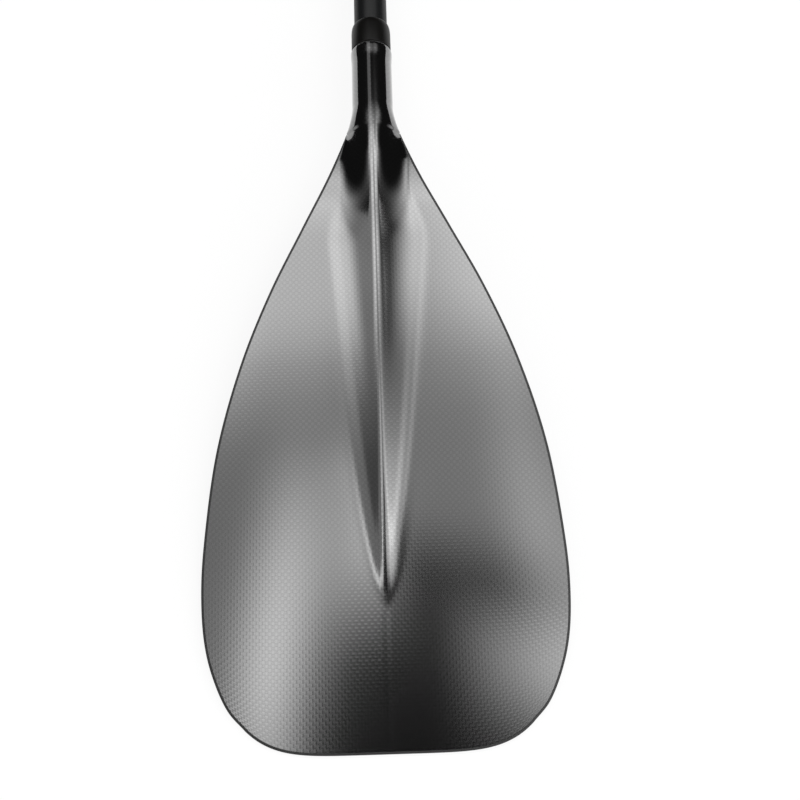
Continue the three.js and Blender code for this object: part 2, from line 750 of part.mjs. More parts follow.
// The bar, drawn about its middle and shrunk by a depth all round.
function gripBar(depth) {
  const half = gripWidth / 2 - depth;
  const rings = [];
  for (let i = 0; i <= gripStations; i += 1) {
    const share = Math.sin((i / gripStations - 1 / 2) * Math.PI * gripEndShare);
    const full = (1 - Math.abs(share) ** gripEndPower) ** gripRoundPower;
    const slim = full * (1 - gripTaperShare * share ** 2);
    const drop = gripDroop * share ** 2;
    rings.push(Array.from({ length: gripSides }, (_, side) => {
      const angle = (side / gripSides) * 2 * Math.PI;
      const rise = Math.sin(angle) * (Math.sin(angle) > 0 ? gripCrownShare : 1);
      return new THREE.Vector3(
        share * half,
        Math.cos(angle) * (gripDepth / 2 - depth) * slim,
        rise * (gripHeight / 2 - depth) * slim - drop,
      );
    }));
  }
  return throughRings(rings).translate(0, 0, gripMiddle);
}

// The stem is round at its mouth and widens along the bar.
function gripStem() {
  const [wide, deep] = [stemWidthShare * gripWidth / 2, stemDepthShare * gripDepth / 2];
  const rings = [];
  for (let i = 0; i <= stemStations; i += 1) {
    const share = i / stemStations;
    const chamfer = i === 0 ? collarEdge : 0;
    const halfX = lerp(stemRadius, wide, share ** stemFlarePower) - chamfer;
    const halfY = lerp(stemRadius, deep, share) - chamfer;
    rings.push(Array.from({ length: roundSides }, (_, side) => {
      const angle = (side / roundSides) * 2 * Math.PI;
      const height = gripMouth + share * gripStemLength;
      return new THREE.Vector3(halfX * Math.cos(angle), halfY * Math.sin(angle), height);
    }));
  }
  return throughRings(rings);
}

function palmZone(clearance) {
  const half = palmPadWidth / 2 + clearance;
  const top = gripMiddle + gripHeight;
  const low = gripMiddle + gripCrownShare * gripHeight / 2 - palmPadDepth - clearance;
  return block([-half, -gripDepth, low], [half, gripDepth, top]);
}

// What is cut from the back of the grip, so that it rests on a flat.
function restCut() {
  const land = gripDepth / 2 - gripLand;
  const low = [-gripWidth, land, gripMouth - cutOverrun];
  return toSolid(block(low, [gripWidth, gripDepth, gripMiddle + gripHeight]));
}

function gripPad() {
  const skin = toSolid(gripBar(0)).subtract(toSolid(gripBar(padSkin)));
  return fromSolid(skin.intersect(toSolid(palmZone(0))).subtract(restCut()));
}

function gripBody() {
  const recess = toSolid(gripBar(-cutOverrun)).subtract(toSolid(gripBar(padSkin + seatGap)))
    .intersect(toSolid(palmZone(seatGap)));
  const socket = rod(socketRadius, gripMouth - cutOverrun, gripMouth + gripSocketDepth);
  const body = toSolid(gripBar(0)).add(toSolid(gripStem())).subtract(recess);
  return fromSolid(body.subtract(restCut()).subtract(toSolid(socket)));
}

function gripPlug() {
  const radius = extensionBore - seatGap;
  return rod(radius, extensionHigh - gripPlugLength, extensionHigh);
}

function trimRing() {
  const top = gripMouth - seatGap;
  const outside = socketRadius + trimRingWall;
  return revolve([
    [socketRadius, top - trimRingHeight], [outside - collarEdge, top - trimRingHeight],
    [outside, top - trimRingHeight + collarEdge], [outside, top], [socketRadius, top],
  ]);
}

// Materials

function finish(color, roughness, metalness) {
  return new THREE.MeshStandardMaterial({ color, roughness, metalness });
}

const carbon = finish(0x4a4b4d, 0.35, 0.3);
const darkCarbon = finish(0x222324, 0.4, 0.2);
const foam = finish(0xd9d2c0, 0.9, 0);
const blackPlastic = finish(0x1b1a1d, 0.55, 0);
const rubber = finish(0x161616, 0.85, 0);
const greyPlastic = finish(0x3a3c40, 0.5, 0);
const steel = finish(0xb9bbbd, 0.3, 1);

// Assembly

const piece = (name, geometry, material) => {
  const mesh = new THREE.Mesh(geometry, material);
  mesh.name = name;
  return mesh;
};

const bladePieces = new THREE.Group().add(
  piece('blade_power_skin', bladeSkin(1), carbon),
  piece('blade_back_skin', bladeSkin(-1), carbon),
  piece('blade_core', bladeCore(), foam),
  piece('blade_edge', bladeEdge(), blackPlastic),
);

const shaftPieces = new THREE.Group().add(
  piece('neck_liner', neckLiner(), darkCarbon),
  piece('neck_collar', neckCollar(), blackPlastic),
  piece('collar_seal', collarSeal(), rubber),
  piece('main_shaft', mainShaft(), darkCarbon),
  piece('shaft_plug', shaftPlug(), foam),
);

const clampPieces = new THREE.Group().add(
  piece('clamp_body', clampBody(), blackPlastic),
  piece('clamp_lever', clampLever(), greyPlastic),
  piece('lever_pin', leverPin(), steel),
  piece('clamp_bolt', clampBolt(), steel),
  piece('clamp_washer', clampWasher(), steel),
  piece('clamp_nut', clampNut(), steel),
  piece('cam_pad', camPad(), steel),
  piece('anti_twist_key', antiTwistKey(), greyPlastic),
  piece('clamp_screw', clampScrew(), steel),
);

const gripPieces = new THREE.Group().add(
  piece('extension_tube', extensionTube(), darkCarbon),
  piece('extension_guide', extensionGuide(), greyPlastic),
  piece('grip_body', gripBody(), blackPlastic),
  piece('grip_pad', gripPad(), rubber),
  piece('grip_plug', gripPlug(), foam),
  piece('grip_trim_ring', trimRing(), greyPlastic),
);

const paddle = new THREE.Group().add(bladePieces, shaftPieces, clampPieces, gripPieces);

// Laid on its back, the paddle leans until blade and grip are equally low.
const lowest = (pieces) => new THREE.Box3().setFromObject(pieces, true).min.z;

function layDown() {
  let [flat, steep] = [0, rake];
  for (let halving = 0; halving < leanHalvings; halving += 1) {
    const lean = (flat + steep) / 2;
    paddle.rotation.x = -(Math.PI / 2 + lean);
    paddle.updateMatrixWorld(true);
    if (lowest(bladePieces) < lowest(gripPieces)) flat = lean;
    else steep = lean;
  }
  const box = new THREE.Box3().setFromObject(paddle, true);
  const middle = box.getCenter(new THREE.Vector3());
  paddle.position.set(-middle.x, -middle.y, -box.min.z);
}

layDown();

const group = new THREE.Group().add(paddle);
export default group;
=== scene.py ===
# %% [markdown]
# # A paddle for a stand-up board
# The construction of this adjustable paddle is already modelled: every tube, clamp part and skin at
# its real size. This notebook adds what the eye sees: fine meshes for the visible pieces, a finish
# for every surface, a studio and a camera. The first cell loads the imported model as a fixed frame.

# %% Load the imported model
import json
import math

import bpy
import numpy as np
from mathutils import Matrix, Vector


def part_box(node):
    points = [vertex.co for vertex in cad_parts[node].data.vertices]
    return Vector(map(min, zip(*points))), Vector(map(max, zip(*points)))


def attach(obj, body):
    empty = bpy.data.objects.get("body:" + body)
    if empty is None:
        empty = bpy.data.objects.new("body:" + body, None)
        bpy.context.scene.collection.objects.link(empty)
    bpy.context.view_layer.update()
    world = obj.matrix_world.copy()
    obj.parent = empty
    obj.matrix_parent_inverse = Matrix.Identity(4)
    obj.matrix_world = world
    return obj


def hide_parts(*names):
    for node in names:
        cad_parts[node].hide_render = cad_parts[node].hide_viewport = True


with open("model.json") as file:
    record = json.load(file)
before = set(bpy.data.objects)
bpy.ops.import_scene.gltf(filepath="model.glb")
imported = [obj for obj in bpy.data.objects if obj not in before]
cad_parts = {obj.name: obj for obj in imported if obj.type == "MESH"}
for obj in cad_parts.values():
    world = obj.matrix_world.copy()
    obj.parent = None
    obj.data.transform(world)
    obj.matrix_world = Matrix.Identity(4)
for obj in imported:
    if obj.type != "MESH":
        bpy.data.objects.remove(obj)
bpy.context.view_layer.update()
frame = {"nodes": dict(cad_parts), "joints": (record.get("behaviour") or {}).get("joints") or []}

# %% [markdown]
# ## The frame that the paddle is drawn in
# The paddle lies on its back, leaning a little, because its blade and its grip are unequally high.
# Nothing is easy to draw at such a lean. So each piece is drawn upright, with Z up the shaft, the
# mouth of the blade's neck at Z = 0 and the power face towards -Y, and is then laid down by one
# matrix. The matrix comes from the model: the slide joint gives the shaft's direction, and the
# middle of the shaft's box, with the lengths of its two ends, gives the place of the neck's mouth.

# %% The matrix that lays a piece down
seat_gap = 0.0003
shaft_insert = 0.052
shaft_reach = 0.790

slide = next(joint for joint in frame["joints"] if joint["type"] == "slide")
shaft_up = Vector(slide["axis"]).normalized()
across = Vector((1, 0, 0))
backwards = shaft_up.cross(across)
shaft_low, shaft_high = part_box("main_shaft")
mouth = (shaft_low + shaft_high) / 2 - shaft_up * (shaft_reach - shaft_insert) / 2
lay_down = Matrix.Translation(mouth) @ Matrix((across, backwards, shaft_up)).transposed().to_4x4()
print("The neck's mouth lies at", [round(value, 4) for value in mouth])

# %% [markdown]
# ## The blade's centre line
# The neck runs straight out of the shaft, then bends back by ten degrees over a short arc, and
# the blade goes on straight from there. One function gives any point beside that line, so the
# faces, the rim and even the camera's target can be placed by how far down the blade they are.

# %% A point beside the blade's centre line
bend_start = 0.074
bend_length = 0.060
rake = math.radians(10)
neck_length = 0.052
blade_length = 0.456
paddle_reach = neck_length + blade_length
tip_scoop = 0.008
tip_scoop_length = 0.260


def blade_point(out, distance, height):
    """A point beside the line: out to the side, down from the mouth, up to the power face."""
    radius = bend_length / rake
    lean = min(max(distance - bend_start, 0), bend_length) / radius
    beyond = max(distance - bend_start - bend_length, 0)
    back = radius * (1 - math.cos(lean)) + beyond * math.sin(lean)
    down = min(distance, bend_start) + radius * math.sin(lean) + beyond * math.cos(lean)
    return Vector((out, back - height * math.cos(lean), -down - height * math.sin(lean)))


def scoop_at(up):
    """How far the blade curls towards its power face, near the tip."""
    return tip_scoop * max(1 - up / tip_scoop_length, 0) ** 2


tip = lay_down @ blade_point(0, paddle_reach, scoop_at(0))
print("The tip lies at", [round(value, 4) for value in tip])

# %% [markdown]
# ## The camera
# The picture looks down at the blade from beyond its tip, turned by under two degrees, from about
# two thirds of a metre. A lens of 45 mm gives the taper that the neck shows. The camera's place is
# worked out backwards from what it looks at: a point on the blade's centre line above the tip.

# %% Camera
target_above_tip = 0.107
camera_distance = 0.6644
camera_elevation = math.radians(69.89)
camera_roll = math.radians(1.84)
aim_right = 0.0135
aim_up = 0.1219

target = lay_down @ blade_point(0, paddle_reach - target_above_tip, scoop_at(target_above_tip))
forward = Vector((0, math.cos(camera_elevation), -math.sin(camera_elevation)))
upward = across.cross(forward)
place = target - camera_distance * forward + aim_right * across + aim_up * upward
right_of_frame = math.cos(camera_roll) * across - math.sin(camera_roll) * upward
top_of_frame = math.sin(camera_roll) * across + math.cos(camera_roll) * upward

camera_data = bpy.data.cameras.new("camera")
camera_data.lens = 45
camera_data.sensor_width = 36
camera = bpy.data.objects.new("camera", camera_data)
bpy.context.scene.collection.objects.link(camera)
turn = Matrix((right_of_frame, top_of_frame, -forward)).transposed()
camera.matrix_world = Matrix.Translation(place) @ turn.to_4x4()
bpy.context.scene.camera = camera
print("The camera stands at", [round(value, 3) for value in place])

# %% [markdown]
# ## Shader maths as plain sums
# A material is a web of nodes. Wiring each Math node by hand hides what is computed, so a small
# class wraps one output socket and lets Python's own operators add the nodes. `1 - mask` then
# reads as what it is. Anything that isn't plain arithmetic comes from one method, `node`.


# %% A socket that can be added, multiplied and compared
class Wire:
    """One output of a node, in the tree of a material or a world."""

    def __init__(self, tree, socket):
        self.tree = tree
        self.socket = socket

    def node(self, kind, inputs=(), output=0, **settings):
        """Adds a node: its settings, then the values or wires of its inputs. Gives one output."""
        made = self.tree.nodes.new(kind)
        for name, value in settings.items():
            setattr(made, name, value)
        for key, value in dict(inputs).items():
            plug(self.tree, value, made.inputs[key])
        return Wire(self.tree, made.outputs[output])

    def math(self, operation, *others):
        values = dict(enumerate((self, *others)))
        return self.node("ShaderNodeMath", values, operation=operation)

    def __add__(self, other):
        return self.math("ADD", other)

    def __sub__(self, other):
        return self.math("SUBTRACT", other)

    def __mul__(self, other):
        return self.math("MULTIPLY", other)

    def __truediv__(self, other):
        return self.math("DIVIDE", other)

    def __neg__(self):
        return self.math("MULTIPLY", -1)

    def __rsub__(self, other):
        return (-self).math("ADD", other)

    __radd__ = __add__
    __rmul__ = __mul__

    def ease(self, low, high):
        """Runs smoothly from 0 to 1 while the value goes from low to high."""
        values = {"Value": self, "From Min": low, "From Max": high}
        return self.node("ShaderNodeMapRange", values, interpolation_type="SMOOTHSTEP")

    def between(self, low, high, soft):
        """1 between low and high, with edges as wide as soft."""
        return self.ease(low - soft, low + soft) * (1 - self.ease(high - soft, high + soft))

    def mix(self, first, second):
        """A colour between two colours, with this wire as the share of the second."""
        values = {"Factor": self, 6: first, 7: second}
        return self.node("ShaderNodeMix", values, output=2, data_type="RGBA")

    def split(self):
        """Three wires: the parts of a place or a direction along X, Y and Z."""
        outputs = self.node("ShaderNodeSeparateXYZ", {0: self}).socket.node.outputs
        return [Wire(self.tree, socket) for socket in outputs]


def plug(tree, value, socket):
    if isinstance(value, Wire):
        tree.links.new(value.socket, socket)
    else:
        socket.default_value = value


print("Wires add Math nodes")

# %% [markdown]
# ## The studio
# The paddle is glossy carbon, so it shows its surroundings more than its own colour. It lies on a
# white floor in a dim room, under soft boxes that are written into the world as a function of
# direction. Two wide boxes hang above it, one each side of a dark gap, and the gap gives the
# blade's crest its double line of light. Narrower boxes further down light the throat and the lower
# half of the blade, and two dim walls outline the tubes. A direction is told by two angles: how far
# it leans aside, and how far it goes over from the horizon above the grip to the one past the tip.

# %% World
world = bpy.data.worlds.new("studio")
bpy.context.scene.world = world
world.use_nodes = True
sky = world.node_tree
sky.nodes.clear()

look = Wire(sky, sky.nodes.new("ShaderNodeTexCoord").outputs["Generated"])
look_x, look_y, look_z = look.split()
aside = look_x.math("ARCSINE") * (180 / math.pi)
over = look_z.math("ARCTAN2", look_y) * (180 / math.pi)

# Each box has its range aside, its range over, the softness of both in degrees, and its strength.
room_light = 0.02
soft_boxes = {
    "upper left": ((-23.8, -2.0), (66.7, 83.3), (4.0, 3.9), 1.69),
    "upper right": ((5.1, 21.0), (63.7, 82.2), (7.9, 4.5), 2.46),
    "lower left": ((-9.5, -6.4), (90.2, 101.5), (1.5, 6.3), 2.33),
    "lower right": ((7.8, 15.3), (88.9, 94.6), (2.1, 11.2), 2.38),
    "low strip, right": ((4.5, 28.6), (94.6, 97.6), (3.0, 1.5), 1.50),
    "flank, left": ((-38.2, -11.1), (71.6, 83.5), (1.5, 7.0), 0.82),
    "flank, right": ((12.9, 29.7), (90.4, 124.1), (2.8, 9.6), 3.00),
    "between, right": ((-1.1, 9.7), (56.3, 92.2), (1.5, 1.7), 0.74),
    "between, left": ((-17.4, -4.5), (33.1, 97.9), (1.5, 1.5), 0.37),
    "low and left": ((-39.6, -5.2), (81.6, 97.8), (2.4, 1.5), 0.19),
    "low and right": ((30.1, 70.5), (78.8, 106.4), (4.1, 4.7), 3.00),
    "throat, left": ((-37.9, 6.1), (56.5, 66.9), (12.7, 8.1), 2.31),
    "throat, right": ((14.8, 36.3), (52.9, 67.4), (11.5, 8.1), 1.95),
    "crest": ((-5.0, -0.3), (86.7, 94.6), (2.5, 2.4), 2.15),
    "beyond the tip": ((-60, 60), (125, 165), (10, 6), 1.5),
    "left wall": ((-90, -66), (0, 180), (6, 10), 1.0),
    "right wall": ((66, 90), (0, 180), (6, 10), 1.0),
}
light = aside * 0 + room_light
for sideways, upwards, (soft_aside, soft_over), strength in soft_boxes.values():
    light += aside.between(*sideways, soft_aside) * over.between(*upwards, soft_over) * strength

path = sky.nodes.new("ShaderNodeLightPath")
seen = Wire(sky, path.outputs["Is Camera Ray"])
studio = look.node("ShaderNodeBackground", {"Color": (1, 1, 1, 1), "Strength": light})
white = look.node("ShaderNodeBackground", {"Color": (1, 1, 1, 1), "Strength": 1.0})
both = seen.node("ShaderNodeMixShader", {0: seen, 1: studio, 2: white})
plug(sky, both, sky.nodes.new("ShaderNodeOutputWorld").inputs["Surface"])
print("The world is lit")

# %% [markdown]
# ## Modelling helpers
# Blender's operators act on whatever is selected, and on the active object. Each helper here first
# clears the selection, so that a step never touches a piece that was made before it. A piece is
# drawn upright, and its mesh is laid down last, when it is dressed.


# %% Start, name and finish a piece
weld_distance = 1e-6
seam_distance = 1e-7


def deselect():
    if bpy.context.object and bpy.context.object.mode != "OBJECT":
        bpy.ops.object.mode_set(mode="OBJECT")
    bpy.ops.object.select_all(action="DESELECT")


def named(name):
    """Names the piece that an operator has just added."""
    piece = bpy.context.object
    piece.name = name
    piece.data.name = name
    return piece


def edit(piece, select="SELECT"):
    deselect()
    piece.select_set(True)
    bpy.context.view_layer.objects.active = piece
    bpy.ops.object.mode_set(mode="EDIT")
    if select:
        bpy.ops.mesh.select_all(action=select)


def done():
    bpy.ops.object.mode_set(mode="OBJECT")


def tidied(piece):
    """Merges doubled points and turns the faces outwards."""
    edit(piece)
    bpy.ops.mesh.remove_doubles(threshold=weld_distance)
    bpy.ops.mesh.normals_make_consistent(inside=False)
    done()
    return piece


def capped(piece):
    """Closes the seam and the open ends of a piece made through sections."""
    edit(piece)
    bpy.ops.mesh.remove_doubles(threshold=seam_distance)
    bpy.ops.mesh.fill_holes(sides=0)
    done()
    return tidied(piece)


def modified(piece, kind, **settings):
    """Adds a modifier and applies it."""
    deselect()
    piece.select_set(True)
    bpy.context.view_layer.objects.active = piece
    modifier = piece.modifiers.new(kind.lower(), kind)
    for name, value in settings.items():
        setattr(modifier, name, value)
    bpy.ops.object.modifier_apply(modifier=modifier.name)
    return piece


def smooth(piece, angle):
    deselect()
    piece.select_set(True)
    bpy.context.view_layer.objects.active = piece
    bpy.ops.object.shade_smooth_by_angle(angle=math.radians(angle))
    return piece


def dressed(piece, material, body, slot, *nodes, angle=35):
    """Lays a piece down, gives it its material and body, and hides the nodes that it stands for. The slot
    is not used.
    """
    piece.data.transform(lay_down)
    piece.data.update()
    smooth(piece, angle)
    piece.data.materials.clear()
    piece.data.materials.append(material)
    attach(piece, body)
    if nodes:
        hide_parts(*nodes)
    print(piece.name, "has", len(piece.data.polygons), "faces")
    return piece


# %% [markdown]
# ## The floor
# A white floor that fills the picture. The camera and the gloss see mostly white light on it and a
# share of the real lighting, so the background is white, and a faint shadow stays where the paddle
# touches it.

# %% Floor
deselect()
bpy.ops.mesh.primitive_plane_add(size=60, location=(0, 0, 0))
floor = named("floor")

floor_white = bpy.data.materials.new("floor_white")
floor_white.use_nodes = True
tree = floor_white.node_tree
tree.nodes.clear()
path = tree.nodes.new("ShaderNodeLightPath")
camera_ray, glossy_ray, through_ray = [
    Wire(tree, path.outputs[name]) for name in ("Is Camera Ray", "Is Glossy Ray", "Is Transmission Ray")
]
glow_share = 0.8
glow_strength = 1.05
floor_grey = 0.9
shown = (camera_ray + glossy_ray + through_ray).math("MINIMUM", 1) * glow_share
matt = camera_ray.node("ShaderNodeBsdfDiffuse", {"Color": (floor_grey, floor_grey, floor_grey, 1)})
glow = camera_ray.node("ShaderNodeEmission", {"Color": (1, 1, 1, 1), "Strength": glow_strength})
mixed = shown.node("ShaderNodeMixShader", {0: shown, 1: matt, 2: glow})
plug(tree, mixed, tree.nodes.new("ShaderNodeOutputMaterial").inputs["Surface"])
floor.data.materials.append(floor_white)
print("The floor is laid")

# %% [markdown]
# ## Finishes
# Every finish starts from the same Principled shader. The numbers that are the same all over a
# surface sit on its sockets, and only what varies is wired: colour, roughness and the bump.


# %% A material and its places
class Finish:
    """A Principled material, with the wires that its patterns start from."""

    def __init__(self, name, **sockets):
        self.material = bpy.data.materials.new(name)
        self.material.use_nodes = True
        self.tree = self.material.node_tree
        self.shader = self.tree.nodes["Principled BSDF"]
        coordinates = self.tree.nodes.new("ShaderNodeTexCoord")
        self.place = Wire(self.tree, coordinates.outputs["Object"])
        for socket, value in sockets.items():
            self.set(socket.replace("_", " "), value)

    def set(self, socket, value):
        plug(self.tree, value, self.shader.inputs[socket])

    def noise(self, scale, detail=2, place=None, stretch=(1, 1, 1)):
        """Noise with a scale per metre, stretched along the axes."""
        start = place or self.place
        stretched = start.node("ShaderNodeVectorMath", {0: start, 1: stretch}, operation="MULTIPLY")
        values = {"Vector": stretched, "Scale": scale, "Detail": detail}
        return stretched.node("ShaderNodeTexNoise", values)

    def bump(self, height, distance, strength=1.0):
        values = {"Height": height, "Distance": distance, "Strength": strength}
        self.set("Normal", height.node("ShaderNodeBump", values))


def grey(level, warm=0.0):
    """A grey in linear light, a little warmer or cooler."""
    return (level * (1 + warm), level, level * (1 - warm), 1)


# %% [markdown]
# ## Plain-woven carbon
# The blade's skin is plain-woven carbon cloth under clear lacquer. A tow, a flat bundle of three
# thousand fibres, is two millimetres wide, and goes over one crossing tow and under the next. The
# pattern reads the cloth's own map, which holds real lengths across and along the cloth. In each
# square one of the two tows is on top. It dives under its neighbours at both ends of the square, so
# it arches along its own length, and the light on it moves with the arch. One bump arches the cloth
# across and another arches it along, and the tow on top picks its own.
# The colour paints light as well: a sheen on each tow's crown, shade where it dives under, and the two
# crossing tows lighter and darker as their sheen would fall.


# %% Woven carbon
tow_width = 0.0021


def weave(column, row):
    """Three wires: where the lengthwise tow is on top, the crown of each tow, and its fibres."""
    top = (column.math("FLOOR") + row.math("FLOOR")).math("FLOORED_MODULO", 2)
    from_middle_x = column.math("FLOORED_MODULO", 1) - 0.5
    from_middle_y = row.math("FLOORED_MODULO", 1) - 0.5
    width = top * from_middle_x + (1 - top) * from_middle_y
    length = top * from_middle_y + (1 - top) * from_middle_x
    crown = (width * math.pi).math("COSINE") * (0.7 + 0.3 * (length * math.pi).math("COSINE"))
    fibres = (width * 40).math("SINE") * 0.5 + 0.5
    return top, crown, fibres


def woven_carbon(name, map_name, tow_in_sheen, tow_in_shade, roughness, arch):
    carbon = Finish(name, Metallic=1.0, Coat_Weight=1.0, Coat_Roughness=0.03, Coat_IOR=1.5)
    source = carbon.place.node("ShaderNodeUVMap", uv_map=map_name)
    column, row = [length / tow_width for length in source.split()[:2]]
    top, crown, fibres = weave(column, row)
    cloud = carbon.noise(9, detail=3)
    # The base colour paints light onto the cloth. The crown term paints a sheen along the middle of each
    # tow and shade where it dives under its neighbours. The top term paints the crossing tows lighter and
    # darker as their sheen would fall. The fibres and the cloud are the cloth's own grain and tone.
    painted_sheen_and_tone = (crown * 0.25 + top * 0.35 + fibres * 0.1 + 0.15) * (0.85 + cloud * 0.3)
    carbon.set("Base Color", painted_sheen_and_tone.mix(grey(tow_in_shade), grey(tow_in_sheen)))
    carbon.set("Roughness", (1 - crown) * 0.02 + cloud * 0.02 + roughness)
    across, along = [0.5 - 0.5 * (place * (2 * math.pi)).math("COSINE") for place in (column, row)]
    tilts = [rise.node("ShaderNodeBump", {"Height": rise, "Distance": arch}) for rise in (across, along)]
    carbon.set("Normal", top.node("ShaderNodeMix", {"Factor": top, 4: tilts[0], 5: tilts[1]}, output=1,
                                  data_type="VECTOR"))
    return carbon.material


blade_carbon = woven_carbon("blade_carbon", "cloth", 0.20, 0.14, 0.08, 0.000004)
print("Woven carbon is ready")

# %% [markdown]
# ## The blade's outline
# The outline is a smooth curve through a few points, each a share of the blade's half width and of
# its length. The curve is walked at even steps, drawn closer at the throat and at the tip, and
# every step gives one row of the blade: its half width, its height above the tip and the way in.

# %% Rows of the blade
blade_width = 0.245
neck_diameter = 0.0306
edge_thickness = 0.0042
neck_radius = neck_diameter / 2
half_width = blade_width / 2
edge_half = edge_thickness / 2
tip_bow_length = 0.180
tip_bow_power = 5.3
blade_rows = 190
neck_row_count = 26
lip_flare = 0.0005
lip_flare_length = 0.012
outline_shares = [
    (0.019, 0.974), (0.077, 0.932), (0.184, 0.870), (0.356, 0.788), (0.564, 0.689), (0.757, 0.575),
    (0.910, 0.443), (0.981, 0.318), (1.000, 0.235), (0.978, 0.162), (0.925, 0.113), (0.827, 0.064),
    (0.720, 0.0365),
]


def smooth_curve(points, steps=40):
    """A centripetal Catmull-Rom curve through the points, as a dense row of places."""
    ends = [2 * points[0] - points[1], *points, 2 * points[-1] - points[-2]]
    line = []
    for a, b, c, d in zip(ends, ends[1:], ends[2:], ends[3:]):
        gaps = [math.sqrt(np.linalg.norm(q - p)) for p, q in ((a, b), (b, c), (c, d))]
        knots = np.cumsum([0, *gaps])
        for step in range(steps):
            at = knots[1] + (knots[2] - knots[1]) * step / steps
            pull = [between(a, b, knots[0], knots[1], at), between(b, c, knots[1], knots[2], at)]
            pull.append(between(c, d, knots[2], knots[3], at))
            early = between(pull[0], pull[1], knots[0], knots[2], at)
            late = between(pull[1], pull[2], knots[1], knots[3], at)
            line.append(between(early, late, knots[1], knots[2], at))
    return np.array([*line, points[-1]])


def between(first, second, low, high, at):
    return first + (second - first) * (at - low) / (high - low)


neck_points = [(neck_radius, paddle_reach), (neck_radius, blade_length)]
side_points = [(neck_radius + out * (half_width - neck_radius), up * blade_length)
               for out, up in outline_shares]
outline = smooth_curve([np.array(point) for point in neck_points + side_points])
walked = np.concatenate([[0], np.cumsum(np.linalg.norm(np.diff(outline, axis=0), axis=1))])


def flare_at(distance):
    """How much wider the neck is, at a distance below its mouth."""
    share = min(max(distance / lip_flare_length, 0), 1)
    return lip_flare * (1 - share * share * (3 - 2 * share))


class Row:
    """One row of the blade, at a share of the way from the neck's mouth to the tip's corner."""

    def __init__(self, share):
        reach = [share * walked[-1] + step for step in (0, -1e-4, 1e-4)]
        x, y = [np.interp(reach, walked, outline[:, axis]) for axis in (0, 1)]
        self.up = min(y[0], paddle_reach)
        self.tube = neck_radius + flare_at(paddle_reach - self.up)
        self.half = max(x[0] + self.tube - neck_radius, self.tube)
        way = np.array([y[2] - y[1], x[1] - x[2]])
        self.inward = way / np.linalg.norm(way)
        self.bow = max(1 - (self.up - corner_height) / tip_bow_length, 0) ** 2


corner_height = outline[-1][1]
throat_share = neck_length / walked[-1]
row_ease_share = 0.1


def eased(share):
    return share - row_ease_share * math.sin(2 * math.pi * share)


neck_rows = [Row(throat_share * step / neck_row_count) for step in range(neck_row_count)]
rows = neck_rows + [Row(throat_share + (1 - throat_share) * eased(step / blade_rows))
                    for step in range(blade_rows + 1)]
print("The blade has", len(rows), "rows, from", round(rows[0].up, 3), "to", round(rows[-1].up, 3))

# %% [markdown]
# ## The blade's faces
# Each row is a section. At the neck it is a round tube, and over the throat it turns into a thin
# plate. On the power face the tube's sides draw in to a bell, and flat wings come out beside it. The
# bell goes on as a ridge down the middle, which sinks, narrows to a point and dies out above the
# tip. Beside it the wings fall away to the edges like a low roof. The back is full between its
# edges, with a low ridge near the neck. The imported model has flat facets, and a smooth form stands
# out between them, so this one is drawn a twentieth of a millimetre smaller.

# %% Heights over the blade's middle plane
throat_length = 0.110
shoulder_spread = 0.012
shoulder_half = 0.026
shoulder_power = 2
tip_fade_length = 0.070
wing_crown = 0.002
crown_fade_length = 0.190
ridge_height = 0.008
ridge_half_width = 0.047
ridge_width_share = 0.7
ridge_fade_power = 0.71
ridge_foot_power = 0.45
ridge_end_share = 0.21
ridge_roof_power = 2
ridge_point_share = 0.05
ridge_point_power = 0.55
foot_round = 0.004
least_foot = 0.001
crest_flat = 0.0007
crest_bevel = 0.003
crest_bevel_slope = math.tan(math.radians(10))
crest_bevel_share = 0.6
crest_round = 0.00006
smooth_spare = 0.00005
back_belly = 0.005
back_ridge_half_width = 0.026
back_ridge_end_share = 0.36
back_ridge_fade_power = 1.5


def clamped(value, low=0.0, high=1.0):
    return min(max(value, low), high)


def lerp(first, second, share):
    return first + (second - first) * share


def smoothstep(value, low, high):
    share = clamped((value - low) / (high - low))
    return share * share * (3 - 2 * share)


def soft_min(first, second, blend):
    """The lower of two heights, with the corner between them rounded."""
    near = max(blend - abs(first - second), 0) / blend
    return min(first, second) - near * near * blend / 4


def power_height(row, out):
    """The crest's flat and its two bevels lie over the ridge's hollow flanks and the wings."""
    out = abs(out)
    flatten = smoothstep(row.up - corner_height, 0, crown_fade_length)
    reach = clamped((row.up / blade_length - ridge_end_share) / (1 - ridge_end_share))
    narrowing = (reach / (reach + ridge_point_share)) ** ridge_point_power if reach else 0
    rise = ridge_height * reach ** ridge_fade_power * narrowing
    spread = ridge_half_width * reach ** ridge_foot_power * narrowing
    foot = max(soft_min(spread, ridge_width_share * row.half, foot_round), least_foot)
    edge = min(crest_bevel, foot / 2)
    top = crest_flat * edge / crest_bevel

    def slope(x):
        wing = edge_half + wing_crown * flatten * (1 - x / row.half)
        return wing + rise * clamped(1 - x / foot) ** ridge_roof_power

    if out > 2 * edge:
        return slope(out)
    fall = (slope(edge) - slope(2 * edge)) / edge
    tilt = min(crest_bevel_slope, crest_bevel_share * fall)
    bevel = slope(edge) + (edge - out) * tilt
    flat = slope(edge) + (edge - top) * tilt
    return soft_min(soft_min(slope(out), bevel, 2 * crest_round), flat, crest_round)


def back_height(row, out):
    flatten = smoothstep(row.up - corner_height, 0, tip_fade_length)
    share = clamped((row.up / blade_length - back_ridge_end_share) / (1 - back_ridge_end_share))
    belly = edge_half + back_belly * flatten * (1 - clamped(abs(out) / row.half) ** 2)
    bump = (1 + math.cos(math.pi * clamped(out / min(back_ridge_half_width, row.half), -1, 1))) / 2
    extra = max(neck_radius - belly, 0) * share ** back_ridge_fade_power
    return belly + extra * bump


